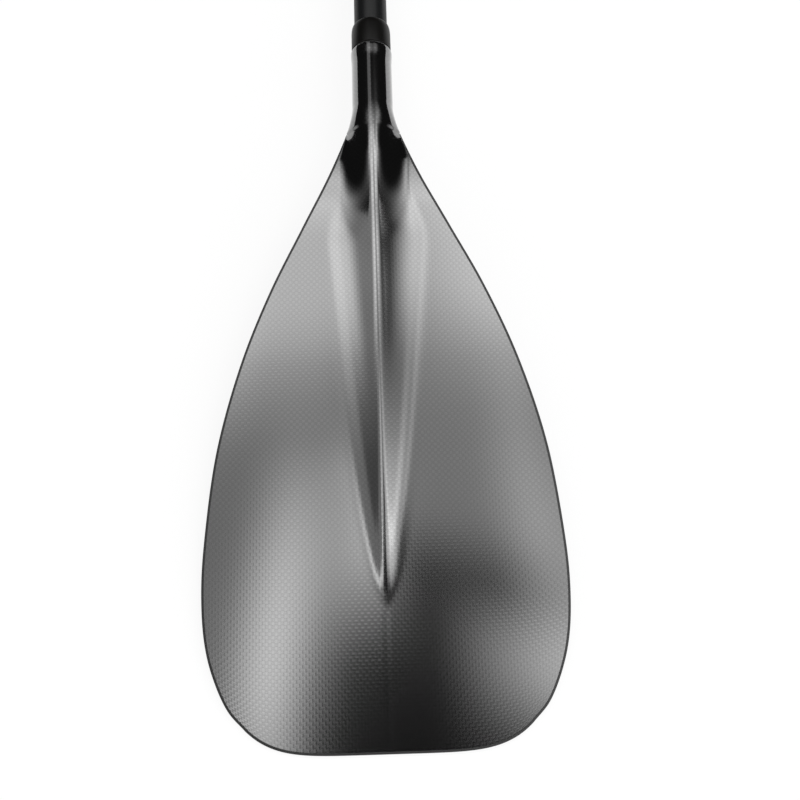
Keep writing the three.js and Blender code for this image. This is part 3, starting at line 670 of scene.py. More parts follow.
def surface_point(row, share, side, inset=0.0):
    """A point of the power face (side 1) or the back (side -1), at a share of the half width."""
    blade = smoothstep(blade_length - row.up, 0, throat_length)
    half = row.half + row.inward[0] * inset
    edge_up = row.up + row.inward[1] * inset
    out = half * share
    widened = smoothstep(row.half - row.tube, 0, shoulder_spread) if side > 0 else 0
    shoulder = min(lerp(half, shoulder_half, widened), half)
    roundness = lerp(0.5, shoulder_power, widened)
    tube = row.tube * clamped(1 - (out / shoulder) ** 2) ** roundness
    face = power_height(row, out) if side > 0 else back_height(row, out)
    height = side * (lerp(tube, face, blade) - smooth_spare)
    bowed = (edge_up - inset) * row.bow * (1 - abs(share) ** tip_bow_power)
    up = edge_up - bowed * corner_height / row.up
    return blade_point(out, paddle_reach - up, height + scoop_at(up))


print("The throat is", throat_length, "metres long")

# %% [markdown]
# ## The blade's shell
# The shell is one closed skin: the power face, the edge under the rim, and the back. It starts as
# a flat grid. One way of the grid goes round the section, and the other goes from the neck to the
# tip. Each point is sent to its place by the formulas above and the seam is welded. The cloth's map
# is written first, while the grid still tells where each corner lies: across the cloth by the
# length walked over the section, and along it by the row.

# %% Points of the shell
rim_width = 0.0016
rim_start_share = 0.955
rim_ramp_length = 0.026
rim_ramp_share = 0.3
side_columns = 44


def rim_width_at(row):
    grown = clamped((rim_start_share * blade_length - row.up) / rim_ramp_length)
    return rim_width * lerp(rim_ramp_share, 1, grown)


def skin_inset(row):
    return 0 if row.up > rim_start_share * blade_length else rim_width_at(row) + seat_gap


def column_share(step):
    """Where a column stands, as a share of the half width: closer together at the crest."""
    share = abs(step) / side_columns
    return math.copysign(math.sin(math.pi / 2 * share ** 1.25), step)


column_shares = [column_share(step) for step in range(-side_columns, side_columns + 1)]


def section(row):
    """The points round one row: over the power face from left to right, and back below."""
    inset = skin_inset(row)
    top = [surface_point(row, share, 1, inset) for share in column_shares]
    bottom = [surface_point(row, share, -1, inset) for share in reversed(column_shares)]
    return [*top, *bottom, top[0]]


def neck_ring(radius, distance):
    """A round section of the neck, with as many points as a row."""
    top = [blade_point(radius * share, distance, radius * math.sqrt(1 - share * share))
           for share in column_shares]
    bottom = [blade_point(radius * share, distance, -radius * math.sqrt(1 - share * share))
              for share in reversed(column_shares)]
    return [*top, *bottom, top[0]]


def grid_piece(name, sections, cloth=None):
    """A piece through sections with the same number of points, from a grid primitive."""
    deselect()
    steps = [len(sections[0]) - 1, len(sections) - 1]
    bpy.ops.mesh.primitive_grid_add(x_subdivisions=steps[0], y_subdivisions=steps[1], size=1)
    piece = named(name)
    spots = [[round((vertex.co[axis] + 0.5) * steps[axis]) for axis in (0, 1)]
             for vertex in piece.data.vertices]
    if cloth:
        layer = piece.data.uv_layers[0]
        layer.name = "cloth"
        for loop in piece.data.loops:
            column, row = spots[loop.vertex_index]
            layer.data[loop.index].uv = cloth[row][column]
    for vertex, (column, row) in zip(piece.data.vertices, spots):
        vertex.co = sections[row][column]
    return piece


def cloth_map(sections, lengths):
    """Lengths across the cloth, from the crest, and along it, from the neck's mouth."""
    table = []
    for ring, length in zip(sections, lengths):
        steps = [0, *(math.dist(a, b) for a, b in zip(ring, ring[1:]))]
        walk = np.cumsum(steps)
        front = walk - walk[side_columns]
        rear = walk - walk[3 * side_columns + 1]
        on_back = np.arange(len(ring)) > 2 * side_columns
        table.append([(u, length) for u in np.where(on_back, rear, front)])
    return table


print("One row of the shell has", len(section(rows[0])), "points")

# %% [markdown]
# The neck's mouth is a real mouth: the skin turns inwards over a small round, and goes down inside
# to a floor below the liner. Its lip flares by half a millimetre. At the tip the last row is
# pressed flat, so the skin closes on itself under the rim.

# %% Blade shell
skin_thickness = 0.0011
liner_length = 0.056
pocket_spare = 0.002
lip_round = 0.0004
lip_steps = 4

pocket_radius = neck_radius - skin_thickness
pocket_depth = liner_length + pocket_spare
lip = [neck_ring(0, pocket_depth), neck_ring(pocket_radius, pocket_depth), neck_ring(pocket_radius, 0),
       neck_ring(neck_radius + lip_flare - lip_round, 0)]
lengths = [0, 0, 0, 0]
for step in range(1, lip_steps + 1):
    distance = lip_round * (1 - math.cos(step / lip_steps * math.pi / 2))
    rounded = lip_round * math.sin(step / lip_steps * math.pi / 2)
    lip.append(neck_ring(neck_radius + flare_at(distance) - lip_round + rounded, distance))
    lengths.append(distance)

face_rows = [row for row in rows if paddle_reach - row.up > 2 * lip_round]
sections = lip + [section(row) for row in face_rows]
flattened = [(near + far) / 2 for near, far in zip(sections[-1], reversed(sections[-1][:-1]))]
sections.append([*flattened, flattened[0]])
lengths += [paddle_reach - row.up for row in face_rows] + [paddle_reach]
shell = grid_piece("blade_shell", sections, cloth_map(sections, lengths))
tidied(shell)
print("The shell has", len(shell.data.vertices), "points")

dressed(shell, blade_carbon, "blade_and_shaft", "blade_carbon", "blade_power_skin", "blade_back_skin",
        angle=40)

# %% [markdown]
# ## The rim
# A thin black band runs round the blade's edge and takes the knocks. Its section is a rounded nose
# between the two skins. It is swept along the outline: down one side, round the tip and up the
# other, on the same points as the shell, so that the two meet with an even gap.

# %% Rim
nose_steps = 7
nose_power = 2.4
nose_spare = 0.00015
nose_height_share = 0.96
rim_material = Finish("rim_plastic", Roughness=0.42, Specular_IOR_Level=0.5)
rim_grain = rim_material.noise(900, detail=3)
rim_material.set("Base Color", rim_grain.mix(grey(0.010), grey(0.016)))
rim_material.bump(rim_grain, 0.00003, 0.4)


def nose(row, share):
    """The section of the rim at one place of the outline, from the power face round to the back."""
    points = []
    for step in range(-nose_steps, nose_steps + 1):
        turn = step / nose_steps
        inwards = 1 - (1 - abs(turn) ** nose_power) ** (1 / nose_power)
        height = (1 - (1 - abs(turn)) ** nose_power) ** (1 / nose_power)
        rise = -math.copysign(height, turn) * nose_height_share
        inset = rim_width_at(row) * inwards + nose_spare
        top = surface_point(row, share, 1, inset)
        bottom = surface_point(row, share, -1, inset)
        points.append(top.lerp(bottom, (1 - rise) / 2))
    return [*points, points[0]]


rim_rows = [row for row in rows if row.up <= rim_start_share * blade_length]
tip_shares = column_shares[1:-1]
noses = [nose(row, 1) for row in rim_rows]
noses += [nose(rim_rows[-1], share) for share in reversed(tip_shares)]
noses += [nose(row, -1) for row in reversed(rim_rows)]
rim = grid_piece("blade_rim", noses)
capped(rim)
dressed(rim, rim_material.material, "blade_and_shaft", "rim_plastic", "blade_edge", angle=40)

# %% [markdown]
# ## Turned pieces
# Collars, tubes, pins and nuts are turned: a closed profile is spun about the shaft. The profile
# starts as a circle with as many points as the profile has corners, which are then sent to their
# places. A bevel rounds what the turning leaves sharp.


# %% A turned piece
turned_sides = 96
rod_sides = 48
along_x = Matrix.Rotation(math.pi / 2, 4, "Y")


def turned(name, profile, sides=turned_sides, bevel=0.0, bevel_steps=3):
    """A closed profile of (radius, height) corners, spun about the vertical axis."""
    deselect()
    bpy.ops.mesh.primitive_circle_add(vertices=len(profile), radius=1, fill_type="NOTHING")
    piece = named(name)
    for vertex, (radius, height) in zip(piece.data.vertices, profile):
        vertex.co = (radius, 0, height)
    edit(piece)
    bpy.ops.mesh.spin(steps=sides, angle=2 * math.pi, center=(0, 0, 0), axis=(0, 0, 1))
    done()
    tidied(piece)
    return rounded_edges(piece, bevel, bevel_steps) if bevel else piece


def rounded_edges(piece, width, steps=3, angle=32):
    return modified(piece, "BEVEL", width=width, segments=steps, limit_method="ANGLE",
                    angle_limit=math.radians(angle), use_clamp_overlap=True)


def cut(piece, tool, operation="DIFFERENCE"):
    """Cuts one piece with another, or joins them, and deletes the second."""
    modified(piece, "BOOLEAN", operation=operation, object=tool, solver="EXACT")
    bpy.data.meshes.remove(tool.data)
    return piece


def moved(piece, place, turn=Matrix()):
    """Turns a piece about the origin, and then moves it to its place."""
    piece.data.transform(Matrix.Translation(place) @ turn)
    return piece


def cross_rod(name, radius, left, right, height=0.0, back=0.0):
    """A round bar along X."""
    rod = turned(name, [(0, left), (radius, left), (radius, right), (0, right)], rod_sides)
    return moved(rod, (0, back, height), along_x)


def block(name, low, high):
    """A box between two corners."""
    deselect()
    bpy.ops.mesh.primitive_cube_add(size=1)
    size = Vector(high) - Vector(low)
    return moved(named(name), (Vector(low) + Vector(high)) / 2, Matrix.Diagonal((*size, 1)))


print("Turned pieces have", turned_sides, "sides")

# %% [markdown]
# ## Moulded plastics and rubber
# All the mouldings are near black, but not alike. The collar is satin with a trace of red, the clamp
# is glass-filled and slightly mottled, and the grip is fine-grained. One function makes them:
# the colour drifts a little, and a fine grain breaks the gloss.


# %% Moulded materials
def moulded(name, level, warm, roughness, grain_scale, grain_depth, mottle=0.25, shine=0.5):
    finish = Finish(name, Specular_IOR_Level=shine)
    drift = finish.noise(60, detail=4)
    grain = finish.noise(grain_scale, detail=3)
    tone = drift * 0.6 + grain * 0.4
    finish.set("Base Color", tone.mix(grey(level * (1 - mottle), warm), grey(level * (1 + mottle), warm)))
    finish.set("Roughness", drift * 0.08 + grain * 0.06 + roughness - 0.07)
    finish.bump(grain, grain_depth, 0.6)
    return finish.material


collar_plastic = moulded("collar_plastic", 0.004, 0.08, 0.36, 1500, 0.00003, shine=0.15)
clamp_plastic = moulded("clamp_plastic", 0.016, 0.0, 0.46, 1100, 0.00006, mottle=0.4)
lever_plastic = moulded("lever_plastic", 0.035, -0.03, 0.38, 1300, 0.00005)
guide_plastic = moulded("guide_plastic", 0.05, -0.02, 0.45, 1400, 0.00003)
grip_plastic = moulded("grip_plastic", 0.014, 0.0, 0.5, 900, 0.00008)
pad_rubber = moulded("pad_rubber", 0.022, 0.0, 0.68, 700, 0.00010)
seal_rubber = moulded("seal_rubber", 0.010, 0.0, 0.7, 900, 0.00003)
print("The mouldings have their materials")

# %% [markdown]
# ## The shaft's finish
# The tubes are wrapped carbon under a satin lacquer. The wrapping leaves a fine spiral, and the
# cloth below shows as narrow tows that run up the tube at a small angle either way. The pattern
# reads the place on the piece, turned upright again, as an angle round the tube and a height.


# %% Upright places and wrapped carbon
shaft_radius = 0.0127
wrap_pitch = 0.0042
tow_crossing = 0.0024
tow_slant = 0.42
seam_share = 0.06


def upright(finish):
    """Three wires: the place across, backwards and up the shaft, from the neck's mouth."""
    back = lay_down.inverted()
    values = {"Vector": finish.place, "Location": back.to_translation(), "Rotation": back.to_euler()}
    return finish.place.node("ShaderNodeMapping", values).split()


def wrapped_carbon(name, radius, level, roughness):
    finish = Finish(name, Coat_Weight=0.1, Coat_Roughness=0.12, Coat_IOR=1.5, Specular_IOR_Level=0.15)
    x, y, z = upright(finish)
    around = y.math("ARCTAN2", x) * radius
    turn = 2 * math.pi / tow_crossing
    one_way = ((around + z * tow_slant) * turn).math("SINE")
    other_way = ((around - z * tow_slant) * turn).math("SINE")
    tows = (one_way * other_way) * 0.5 + 0.5
    wraps = around / (2 * math.pi * radius) + z / wrap_pitch
    spiral = (wraps.math("FLOORED_MODULO", 1) - 0.5).math("ABSOLUTE")
    seam = 1 - spiral.ease(0.0, seam_share)
    cloud = finish.noise(25, detail=4)
    tone = tows * 0.6 + cloud * 0.4
    finish.set("Base Color", tone.mix(grey(level * 0.7, -0.05), grey(level * 1.35, -0.05)))
    finish.set("Roughness", tows * 0.06 + cloud * 0.08 + roughness - 0.07)
    finish.bump(seam * -0.6 + tows * 0.15, 0.00005, 0.35)
    return finish.material


shaft_carbon = wrapped_carbon("shaft_carbon", shaft_radius, 0.008, 0.34)
print("Wrapped carbon is ready")

# %% [markdown]
# ## The neck's collar
# A moulded ring closes the gap between the neck and the thinner shaft. It is a little slimmer than
# the neck, and its top rounds over to the shaft in a soft shoulder. A rubber ring lies between the
# collar's foot and the neck's lip, and draws a thin black line.

# %% Neck collar and its seal
seal_section = 0.0016
collar_length = 0.023
collar_step = 0.0003
shoulder_length = 0.0065
shoulder_lip = 0.0007
shoulder_steps = 12
collar_edge = 0.0005
seal_steps = 16
collar_sides = 128
collar_radius = neck_radius - collar_step
collar_bore = shaft_radius + seat_gap
collar_low = 2 * seat_gap + seal_section
collar_top = collar_low + collar_length
shoulder_rise = collar_radius - collar_bore - shoulder_lip

profile = [(collar_bore, collar_low), (collar_radius, collar_low)]
for step in range(shoulder_steps + 1):
    angle = step / shoulder_steps * math.pi / 2
    profile.append((collar_radius - shoulder_rise * (1 - math.cos(angle)),
                    collar_top - shoulder_length * (1 - math.sin(angle))))
profile.append((collar_bore, collar_top))
collar = turned("collar", profile, sides=collar_sides, bevel=collar_edge)
dressed(collar, collar_plastic, "blade_and_shaft", "collar_plastic", "neck_collar")

seal_round = seal_section / 2
seal_profile = []
for step in range(seal_steps):
    angle = step / seal_steps * 2 * math.pi
    seal_profile.append((collar_radius - seal_round * (1 - math.cos(angle)),
                         seat_gap + seal_round * (1 + math.sin(angle))))
seal = turned("seal", seal_profile, sides=collar_sides)
dressed(seal, seal_rubber, "blade_and_shaft", "seal_rubber", "collar_seal", angle=60)

# %% [markdown]
# ## The two tubes
# The main shaft is a plain tube, slit at its top so that the clamp can squeeze it. The thinner upper
# tube slides in it. A groove down its back takes a key in the clamp's lip, so the grip stays in line
# with the blade. The slit and the groove are cut with a box and a bar.

# %% Tubes
shaft_wall = 0.0012
slit_length = 0.028
slit_half = 0.0008
slide_fit = 0.0003
extension_wall = 0.0015
extension_low = 0.430
extension_high = 1.120
groove_depth = 0.0007
key_width = 0.003
overrun = 0.002
tube_edge = 0.0002
shaft_bore = shaft_radius - shaft_wall
extension_radius = shaft_bore - slide_fit
extension_bore = extension_radius - extension_wall
groove_half = key_width / 2 + slide_fit


def tube(name, bore, radius, low, high, bevel=tube_edge):
    profile = [(bore, low), (radius, low), (radius, high), (bore, high)]
    return turned(name, profile, bevel=bevel, bevel_steps=2)


shaft = tube("shaft", shaft_bore, shaft_radius, -shaft_insert, shaft_reach)
slit_foot = shaft_reach - slit_length
slit_reach = shaft_radius + overrun
cut(shaft, block("slit", (-slit_reach, -slit_half, slit_foot),
                 (slit_reach, slit_half, shaft_reach + overrun)))
cut(shaft, cross_rod("slit_end", slit_half, -slit_reach, slit_reach, height=slit_foot))
dressed(shaft, shaft_carbon, "blade_and_shaft", "shaft_carbon", "main_shaft")

upper = tube("upper_tube", extension_bore, extension_radius, extension_low, extension_high)
groove_floor = extension_radius - groove_depth
cut(upper, block("groove", (-groove_half, groove_floor, extension_low - overrun),
                 (groove_half, extension_radius + overrun, extension_high + overrun)))
dressed(upper, shaft_carbon, "extension", "shaft_carbon", "extension_tube")

# %% [markdown]
# ## The clamp's sleeve
# The clamp is a moulded sleeve. Its split part grips the main shaft, and its closed lip guides the
# upper tube. Two ears stand out on the blade's side, and the bolt that draws them together passes
# through both. The sleeve is turned, the ears are a box with rounded corners, and the holes are cut.

# %% Clamp sleeve
clamp_wall = 0.0045
clamp_grip_length = 0.034
clamp_lip_length = 0.012
clamp_lip_wall = 0.0032
clamp_edge = 0.001
clamp_bevel = 0.0008
clamp_corner = 0.0003
ear_gap = 0.003
ear_thickness = 0.0065
ear_reach = 0.017
ear_height = 0.026
ear_corner = 0.007
bolt_radius = 0.0025
pin_fit = 0.0003
key_length = 0.008
key_seat = 0.0018
screw_height = 0.007
clamp_radius = shaft_radius + seat_gap + clamp_wall
clamp_low = shaft_reach - clamp_grip_length + seat_gap
clamp_shoulder = shaft_reach + seat_gap
clamp_high = clamp_shoulder + clamp_lip_length
clamp_middle = clamp_low + clamp_grip_length / 2
lip_bore = extension_radius + slide_fit
lip_radius = lip_bore + clamp_lip_wall
bolt_back = -(clamp_radius + ear_reach / 2)
ear_side = ear_gap / 2 + ear_thickness
key_low = clamp_shoulder + (clamp_lip_length - key_length) / 2


def ears():
    """The two ears as one plate, before the sleeve's split parts them."""
    far = clamp_radius + ear_reach
    low, high = clamp_middle - ear_height / 2, clamp_middle + ear_height / 2
    plate = block("ears", (-ear_side, -far, low), (ear_side, 0, high))
    edit(plate, "DESELECT")
    bpy.ops.mesh.select_mode(type="EDGE")
    done()
    for edge in plate.data.edges:
        ends = [plate.data.vertices[index].co for index in edge.vertices]
        edge.select = all(end.y < -far / 2 for end in ends) and abs(ends[0].z - ends[1].z) < seat_gap
    edit(plate, None)
    bpy.ops.mesh.bevel(offset=ear_corner, segments=12)
    done()
    return tidied(plate)


def keyway():
    half = key_width / 2 + seat_gap
    return block("keyway", (-half, 0, key_low - seat_gap),
                 (half, lip_bore + key_seat + seat_gap, key_low + key_length + seat_gap))


screw_radius = 0.0015
screw_head_radius = 0.0032
screw_head_depth = 0.0018
screw_sink = 0.0006


def lay_back(piece):
    """Turns a piece drawn along Z so that it points backwards at the screw's height."""
    return moved(piece, (0, 0, clamp_low + screw_height), Matrix.Rotation(-math.pi / 2, 4, "X"))


def screw(name, clearance, tip, above):
    """A countersunk screw, or its hole, through the sleeve's back."""
    head, shank = screw_head_radius + clearance, screw_radius + clearance
    top = clamp_radius - screw_sink + clearance
    piece = turned(name, [(0, tip), (shank, tip), (shank, top - screw_head_depth), (head, top),
                          (head, top + above), (0, top + above)], rod_sides)
    return lay_back(piece)


print("The clamp stands between", round(clamp_low, 4), "and", round(clamp_high, 4), "metres")

# %% [markdown]
# The sleeve's corners are rounded last, after all its holes are cut.

# %% Make the sleeve
sleeve = turned("clamp_sleeve", [
    (0, clamp_low), (clamp_radius, clamp_low), (clamp_radius, clamp_shoulder - clamp_edge),
    (lip_radius, clamp_shoulder + clamp_edge), (lip_radius, clamp_high), (0, clamp_high),
], bevel=clamp_bevel)
cut(sleeve, ears(), "UNION")
far = clamp_radius + ear_reach + overrun
cut(sleeve, block("split", (-ear_gap / 2, -far, clamp_low - overrun), (ear_gap / 2, 0, clamp_shoulder)))
cut(sleeve, tube("shaft_hole", 0, shaft_radius + seat_gap, clamp_low - overrun, clamp_shoulder, bevel=0))
cut(sleeve, tube("lip_hole", 0, lip_bore, clamp_low, clamp_high + overrun, bevel=0))
cut(sleeve, cross_rod("bolt_hole", bolt_radius + pin_fit, -far, far, clamp_middle, bolt_back))
cut(sleeve, keyway())
cut(sleeve, screw("screw_hole", seat_gap, 0, overrun))
rounded_edges(tidied(sleeve), clamp_corner, 2, angle=40)
dressed(sleeve, clamp_plastic, "blade_and_shaft", "clamp_plastic", "clamp_body")

# %% [markdown]
# ## The lever
# The lever is a cam with an arm. The cam's centre stands one millimetre off the pin, so turning the
# arm draws the bolt and closes the ears. Closed, the arm wraps the sleeve, and its end stands off a
# little for the finger. Its outline is drawn flat with arcs, raised by one extrude, and rounded.

# %% Lever
lever_thickness = 0.0045
lever_width = 0.022
lever_clearance = 0.0009
lever_edge = 0.0007
cam_radius = 0.0065
cam_throw = 0.001
pin_radius = 0.002
lever_tip_length = 0.009
pad_thickness = 0.0012
bolt_eye_height = 0.006
pad_outer = -(ear_side + seat_gap + pad_thickness)
cam_x = pad_outer - seat_gap - cam_radius
pin_x = cam_x - cam_throw
arm_inner = clamp_radius + lever_clearance
arm_outer = arm_inner + lever_thickness
arm_start, arm_end, arm_back, cam_end = [math.radians(angle) for angle in (218, 140, 196, 20)]


def arc(middle, radius, start, end, steps):
    """Points on an arc from one angle to another."""
    points = []
    for step in range(steps + 1):
        angle = lerp(start, end, step / steps)
        points.append((middle[0] + radius * math.cos(angle), middle[1] + radius * math.sin(angle)))
    return points


def lever_outline():
    outwards = Vector((math.cos(arm_end), math.sin(arm_end)))
    onwards = Vector((outwards.y, -outwards.x))
    half = lever_thickness / 2
    tip = outwards * (arm_inner + half) + onwards * lever_tip_length
    outline = arc((cam_x, bolt_back), cam_radius, math.pi, 2 * math.pi + cam_end, 40)
    outline += arc((0, 0), arm_inner, arm_start, arm_end, 40)
    outline += arc(tip, half, arm_end - math.pi, arm_end, 14)
    outline += arc((0, 0), arm_outer, arm_end, arm_back, 30)
    return outline


def raised(name, outline, low, high):
    """A flat outline raised into a solid with straight walls."""
    deselect()
    bpy.ops.mesh.primitive_circle_add(vertices=len(outline), radius=1, fill_type="NGON")
    piece = named(name)
    for vertex, (x, y) in zip(piece.data.vertices, outline):
        vertex.co = (x, y, low)
    edit(piece)
    bpy.ops.mesh.extrude_region_move(TRANSFORM_OT_translate={"value": (0, 0, high - low)})
    bpy.ops.mesh.select_all(action="SELECT")
    bpy.ops.mesh.normals_make_consistent(inside=False)
    done()
    return piece


lever = raised("lever", lever_outline(), -lever_width / 2, lever_width / 2)
rounded_edges(lever, lever_edge, 3, angle=50)
slot_half = bolt_eye_height / 2 + pin_fit
slot = tube("lever_slot", 0, cam_radius + cam_throw, -slot_half, slot_half, bevel=0)
cut(lever, moved(slot, (cam_x, bolt_back, 0)))
hole = tube("pin_hole", 0, pin_radius + pin_fit, -lever_width, lever_width, bevel=0)
cut(lever, moved(hole, (pin_x, bolt_back, 0)))
moved(lever, (0, 0, clamp_middle))
dressed(lever, lever_plastic, "lever", "lever_plastic", "clamp_lever")

# %% [markdown]
# ## Steel fasteners
# The bolt has an eye for the lever's pin and a thread at its other end. A nut and a washer hold it
# against the far ear, and a thin plate keeps the cam off the near one. All are stainless steel,
# brushed by the tumbler: small scratches run every way and the gloss varies a little.

# %% Steel
steel = Finish("fastener_steel", Metallic=1.0)
drift = steel.noise(220, detail=3)
scratches = steel.noise(2600, detail=2, stretch=(1, 0.12, 1))
steel.set("Base Color", (drift * 0.5 + scratches * 0.5).mix((0.50, 0.50, 0.51, 1), (0.66, 0.66, 0.66, 1)))
steel.set("Roughness", drift * 0.14 + scratches * 0.12 + 0.16)
steel.bump(scratches, 0.00001, 0.4)
fastener_steel = steel.material
print("The steel is ready")

# %% [markdown]
# The bolt's thread is a row of small cones, turned with the bolt. The nut is a prism with six
# sides, and its corners are taken off by what it shares with a chamfered disc.

# %% Pin, bolt, washer, nut and cam pad
thread_pitch = 0.0008
thread_depth = 0.00025
washer_radius = 0.005
washer_thickness = 0.001
nut_width = 0.008
nut_thickness = 0.004
nut_sides = 6
bolt_tail = 0.002
bolt_eye_radius = 0.0045
pad_half_width = 0.006
pin_edge = 0.0003
eye_edge = 0.0004
nut_chamfer = 0.0007
nut_round_share = 0.985
small_edge = 0.0002
washer_place = ear_side + seat_gap
nut_place = washer_place + washer_thickness + seat_gap
bolt_end = nut_place + nut_thickness + bolt_tail


def across_clamp(piece):
    """Turns a piece drawn along Z so that it lies along the bolt."""
    return moved(piece, (0, bolt_back, clamp_middle), along_x)


def steel_piece(piece, node):
    return dressed(piece, fastener_steel, "blade_and_shaft", "fastener_steel", node)


pin = tube("pin", 0, pin_radius, clamp_middle - lever_width / 2, clamp_middle + lever_width / 2,
           bevel=pin_edge)
steel_piece(moved(pin, (pin_x, bolt_back, 0)), "lever_pin")

threads = round((bolt_end - washer_place) / thread_pitch)
bolt_profile = [(0, pin_x), (bolt_radius, pin_x)]
for turn in range(threads):
    start = washer_place + turn * thread_pitch
    bolt_profile += [(bolt_radius, start), (bolt_radius - thread_depth, start + thread_pitch / 2)]
bolt_profile += [(bolt_radius - thread_depth, bolt_end), (0, bolt_end)]
bolt = across_clamp(turned("bolt", bolt_profile, rod_sides))
eye = tube("bolt_eye", 0, bolt_eye_radius, -bolt_eye_height / 2, bolt_eye_height / 2, bevel=eye_edge)
cut(bolt, moved(eye, (pin_x, bolt_back, clamp_middle)), "UNION")
bolt_hole = tube("bolt_hole", 0, pin_radius + pin_fit, -bolt_eye_height, bolt_eye_height, bevel=0)
steel_piece(cut(bolt, moved(bolt_hole, (pin_x, bolt_back, clamp_middle))), "clamp_bolt")

washer = tube("washer", bolt_radius + pin_fit, washer_radius, washer_place,
              washer_place + washer_thickness)
steel_piece(across_clamp(washer), "clamp_washer")

nut_corner = nut_width / 2 / math.cos(math.pi / nut_sides)
nut = turned("nut", [(0, nut_place), (nut_corner, nut_place), (nut_corner, nut_place + nut_thickness),
                     (0, nut_place + nut_thickness)], nut_sides)
nut_round = tube("nut_round", 0, nut_corner * nut_round_share, nut_place, nut_place + nut_thickness,
                 bevel=nut_chamfer)
cut(nut, nut_round, "INTERSECT")
cut(nut, tube("nut_hole", 0, bolt_radius + pin_fit, nut_place - overrun, bolt_end, bevel=0))
steel_piece(across_clamp(rounded_edges(nut, small_edge, 2, angle=40)), "clamp_nut")

pad = block("cam_plate", (pad_outer, bolt_back - pad_half_width, clamp_middle - lever_width / 2),
            (pad_outer + pad_thickness, bolt_back + pad_half_width, clamp_middle + lever_width / 2))
cut(pad, cross_rod("pad_hole", bolt_radius + pin_fit, pad_outer - overrun, 0, clamp_middle, bolt_back))
steel_piece(rounded_edges(pad, small_edge, 2, angle=40), "cam_pad")

# %% [markdown]
# The countersunk screw keeps the sleeve on the shaft, and has a socket for a hexagonal key.

# %% Clamp screw and key
screw_dome = 0.0003
socket_depth = 0.0009
socket_edge = 0.00012
key_edge = 0.0003
socket_top = clamp_radius - screw_sink
socket_floor = socket_top - socket_depth
screw_piece = screw("screw", 0, shaft_radius + seat_gap, screw_dome)
socket_end = socket_top + overrun
socket_tool = turned("socket", [(0, socket_floor), (screw_radius, socket_floor),
                                (screw_radius, socket_end), (0, socket_end)], nut_sides)
lay_back(socket_tool)
steel_piece(rounded_edges(cut(screw_piece, socket_tool), socket_edge, 2, angle=40), "clamp_screw")

key_half = key_width / 2
key = block("key", (-key_half, extension_radius - groove_depth + slide_fit, key_low),
            (key_half, lip_bore + key_seat, key_low + key_length))
rounded_edges(key, key_edge, 3)
dressed(key, guide_plastic, "blade_and_shaft", "guide_plastic", "anti_twist_key")

# %% [markdown]
# ## The grip
# The grip is a bar across the shaft, fuller below than above and thinner towards its ends, which
# hang a little. It flows out of a stem with a socket for the upper tube. Bar and stem are drawn as
# two smooth forms and joined. A fine remesh and a few rounds of smoothing then make one skin of
# them, so the stem runs into the bar with a moulded fillet. The palm pad's recess is cut last.

# %% Grip forms
grip_half_width = 0.053
grip_half_height = 0.017
grip_half_depth = 0.0145
grip_droop = 0.006
grip_stem_length = 0.056
grip_stem_wall = 0.003
grip_socket_depth = 0.046
grip_land = 0.0015
pad_skin = 0.0016
palm_pad_half = 0.037
palm_pad_depth = 0.009
grip_end_power = 5
grip_round_power = 0.42
grip_taper_share = 0.14
grip_crown_share = 0.86
stem_width_share = 0.56
stem_depth_share = 0.93
stem_flare_power = 2.6
stem_steps = 24
stem_chamfer = 0.0006
bar_end_share = 0.985
zone_half_depth = 0.03
zone_reach = 0.034
zone_round = 0.004
skin_voxel = 0.0009
skin_smoothing = 0.5
skin_rounds = 10
palm_edge = 0.0004
grip_mouth = extension_high - grip_socket_depth + seat_gap
grip_middle = grip_mouth + grip_stem_length
socket_radius = extension_radius + seat_gap
stem_radius = socket_radius + grip_stem_wall
bar_rings = 72
bar_sides = 72


def grip_bar(name, depth):
    """The bar about its middle, shrunk by a depth all round."""
    rings = []
    for step in range(bar_rings + 1):
        share = math.sin((step / bar_rings - 0.5) * math.pi * bar_end_share)
        full = (1 - abs(share) ** grip_end_power) ** grip_round_power
        slim = full * (1 - grip_taper_share * share ** 2)
        ring = []
        for side in range(bar_sides + 1):
            angle = side / bar_sides * 2 * math.pi
            rise = math.sin(angle) * (grip_crown_share if math.sin(angle) > 0 else 1)
            ring.append(Vector((
                share * (grip_half_width - depth),
                math.cos(angle) * (grip_half_depth - depth) * slim,
                grip_middle + rise * (grip_half_height - depth) * slim - grip_droop * share ** 2,
            )))
        rings.append(ring)
    return capped(grid_piece(name, rings))


def grip_stem(name):
    """The stem: round at its mouth, and wider along the bar."""
    wide, deep = stem_width_share * grip_half_width, stem_depth_share * grip_half_depth
    rings = []
    for step in range(stem_steps + 1):
        share = step / stem_steps
        chamfer = 0 if step else stem_chamfer
        half_x = lerp(stem_radius, wide, share ** stem_flare_power) - chamfer
        half_y = lerp(stem_radius, deep, share) - chamfer
        height = grip_mouth + share * grip_stem_length
        ring = []
        for side in range(bar_sides + 1):
            angle = side / bar_sides * 2 * math.pi
            ring.append(Vector((half_x * math.cos(angle), half_y * math.sin(angle), height)))
        rings.append(ring)
    return capped(grid_piece(name, rings))


def palm_zone(clearance):
    low = grip_middle + grip_crown_share * grip_half_height - palm_pad_depth - clearance
    half = palm_pad_half + clearance
    high = grip_middle + zone_reach
    zone = block("palm_zone", (-half, -zone_half_depth, low), (half, zone_half_depth, high))
    return rounded_edges(zone, zone_round, 6)


def land_cut(piece):
    """Cuts the flat at the back that the grip rests on."""
    land = grip_half_depth - grip_land
    edit(piece)
    bpy.ops.mesh.bisect(plane_co=(0, land, 0), plane_no=(0, 1, 0), use_fill=True, clear_outer=True)
    bpy.ops.mesh.select_all(action="SELECT")
    bpy.ops.mesh.fill_holes(sides=0)
    done()
    return tidied(piece)


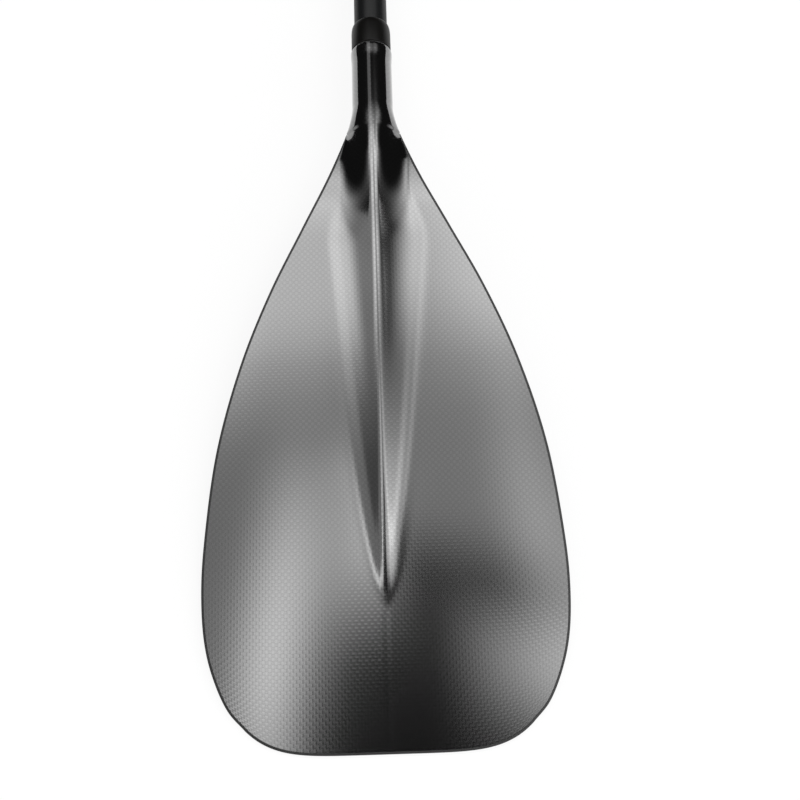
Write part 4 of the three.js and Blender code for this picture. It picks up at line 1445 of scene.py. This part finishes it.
print("The grip's bar lies", round(grip_middle, 4), "metres above the neck's mouth")

# %% [markdown]
# The recess is the skin between two bars, one a little larger than the grip and one smaller, cut
# down to the palm's place. The pad is made the same way and fills it.

# %% Grip body
grip = cut(grip_bar("grip", 0), grip_stem("grip_stem"), "UNION")
modified(grip, "REMESH", mode="VOXEL", voxel_size=skin_voxel)
modified(grip, "SMOOTH", factor=skin_smoothing, iterations=skin_rounds)
land_cut(grip)
recess = cut(grip_bar("recess", -overrun), grip_bar("recess_inside", pad_skin + seat_gap))
cut(grip, cut(recess, palm_zone(seat_gap), "INTERSECT"))
cut(grip, tube("grip_socket", 0, socket_radius, grip_mouth - overrun, grip_mouth + grip_socket_depth,
               bevel=0))
tidied(grip)
dressed(grip, grip_plastic, "extension", "grip_plastic", "grip_body")

palm = cut(grip_bar("palm_pad", 0), grip_bar("pad_inside", pad_skin))
land_cut(cut(palm, palm_zone(0), "INTERSECT"))
rounded_edges(palm, palm_edge, 3, angle=45)
dressed(palm, pad_rubber, "extension", "pad_rubber", "grip_pad")

# %% [markdown]
# A dark grey ring finishes the mouth of the stem.

# %% Trim ring
trim_height = 0.004
trim_wall = 0.002
trim_edge = 0.0006
trim_top = grip_mouth - seat_gap
trim_radius = socket_radius + trim_wall
trim_foot = trim_top - trim_height
trim = turned("trim_ring", [(socket_radius, trim_foot), (trim_radius, trim_foot),
                            (trim_radius, trim_top), (socket_radius, trim_top)], bevel=trim_edge)
dressed(trim, guide_plastic, "extension", "guide_plastic", "grip_trim_ring")

# %% [markdown]
# ## The pieces inside
# Foam, liner, plugs and the lower guide can't be seen until the paddle is taken apart. Their
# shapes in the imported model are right, so they keep them and only get their finish. The foam shows
# its cells, as a Voronoi pattern less than a millimetre wide.

# %% Materials of the inner pieces
foam = Finish("foam", Roughness=0.85, Specular_IOR_Level=0.3)
cells = foam.place.node("ShaderNodeTexVoronoi", {"Vector": foam.place, "Scale": 1400})
foam.set("Base Color", (cells + foam.noise(40) * 0.4).mix((0.50, 0.46, 0.38, 1), (0.74, 0.70, 0.61, 1)))
foam.bump(cells, 0.0002, 0.6)

inner_finishes = {
    "blade_core": foam.material,
    "shaft_plug": foam.material,
    "grip_plug": foam.material,
    "neck_liner": shaft_carbon,
    "extension_guide": guide_plastic,
}
for node, material in inner_finishes.items():
    frame["nodes"][node].material_slots[0].material = material
    print(node, "has its finish")

# %% [markdown]
# ## Render settings
# The picture keeps the Standard view transform, so that colours come out as they are written.

# %% Finish
bpy.context.scene.view_settings.view_transform = "Standard"
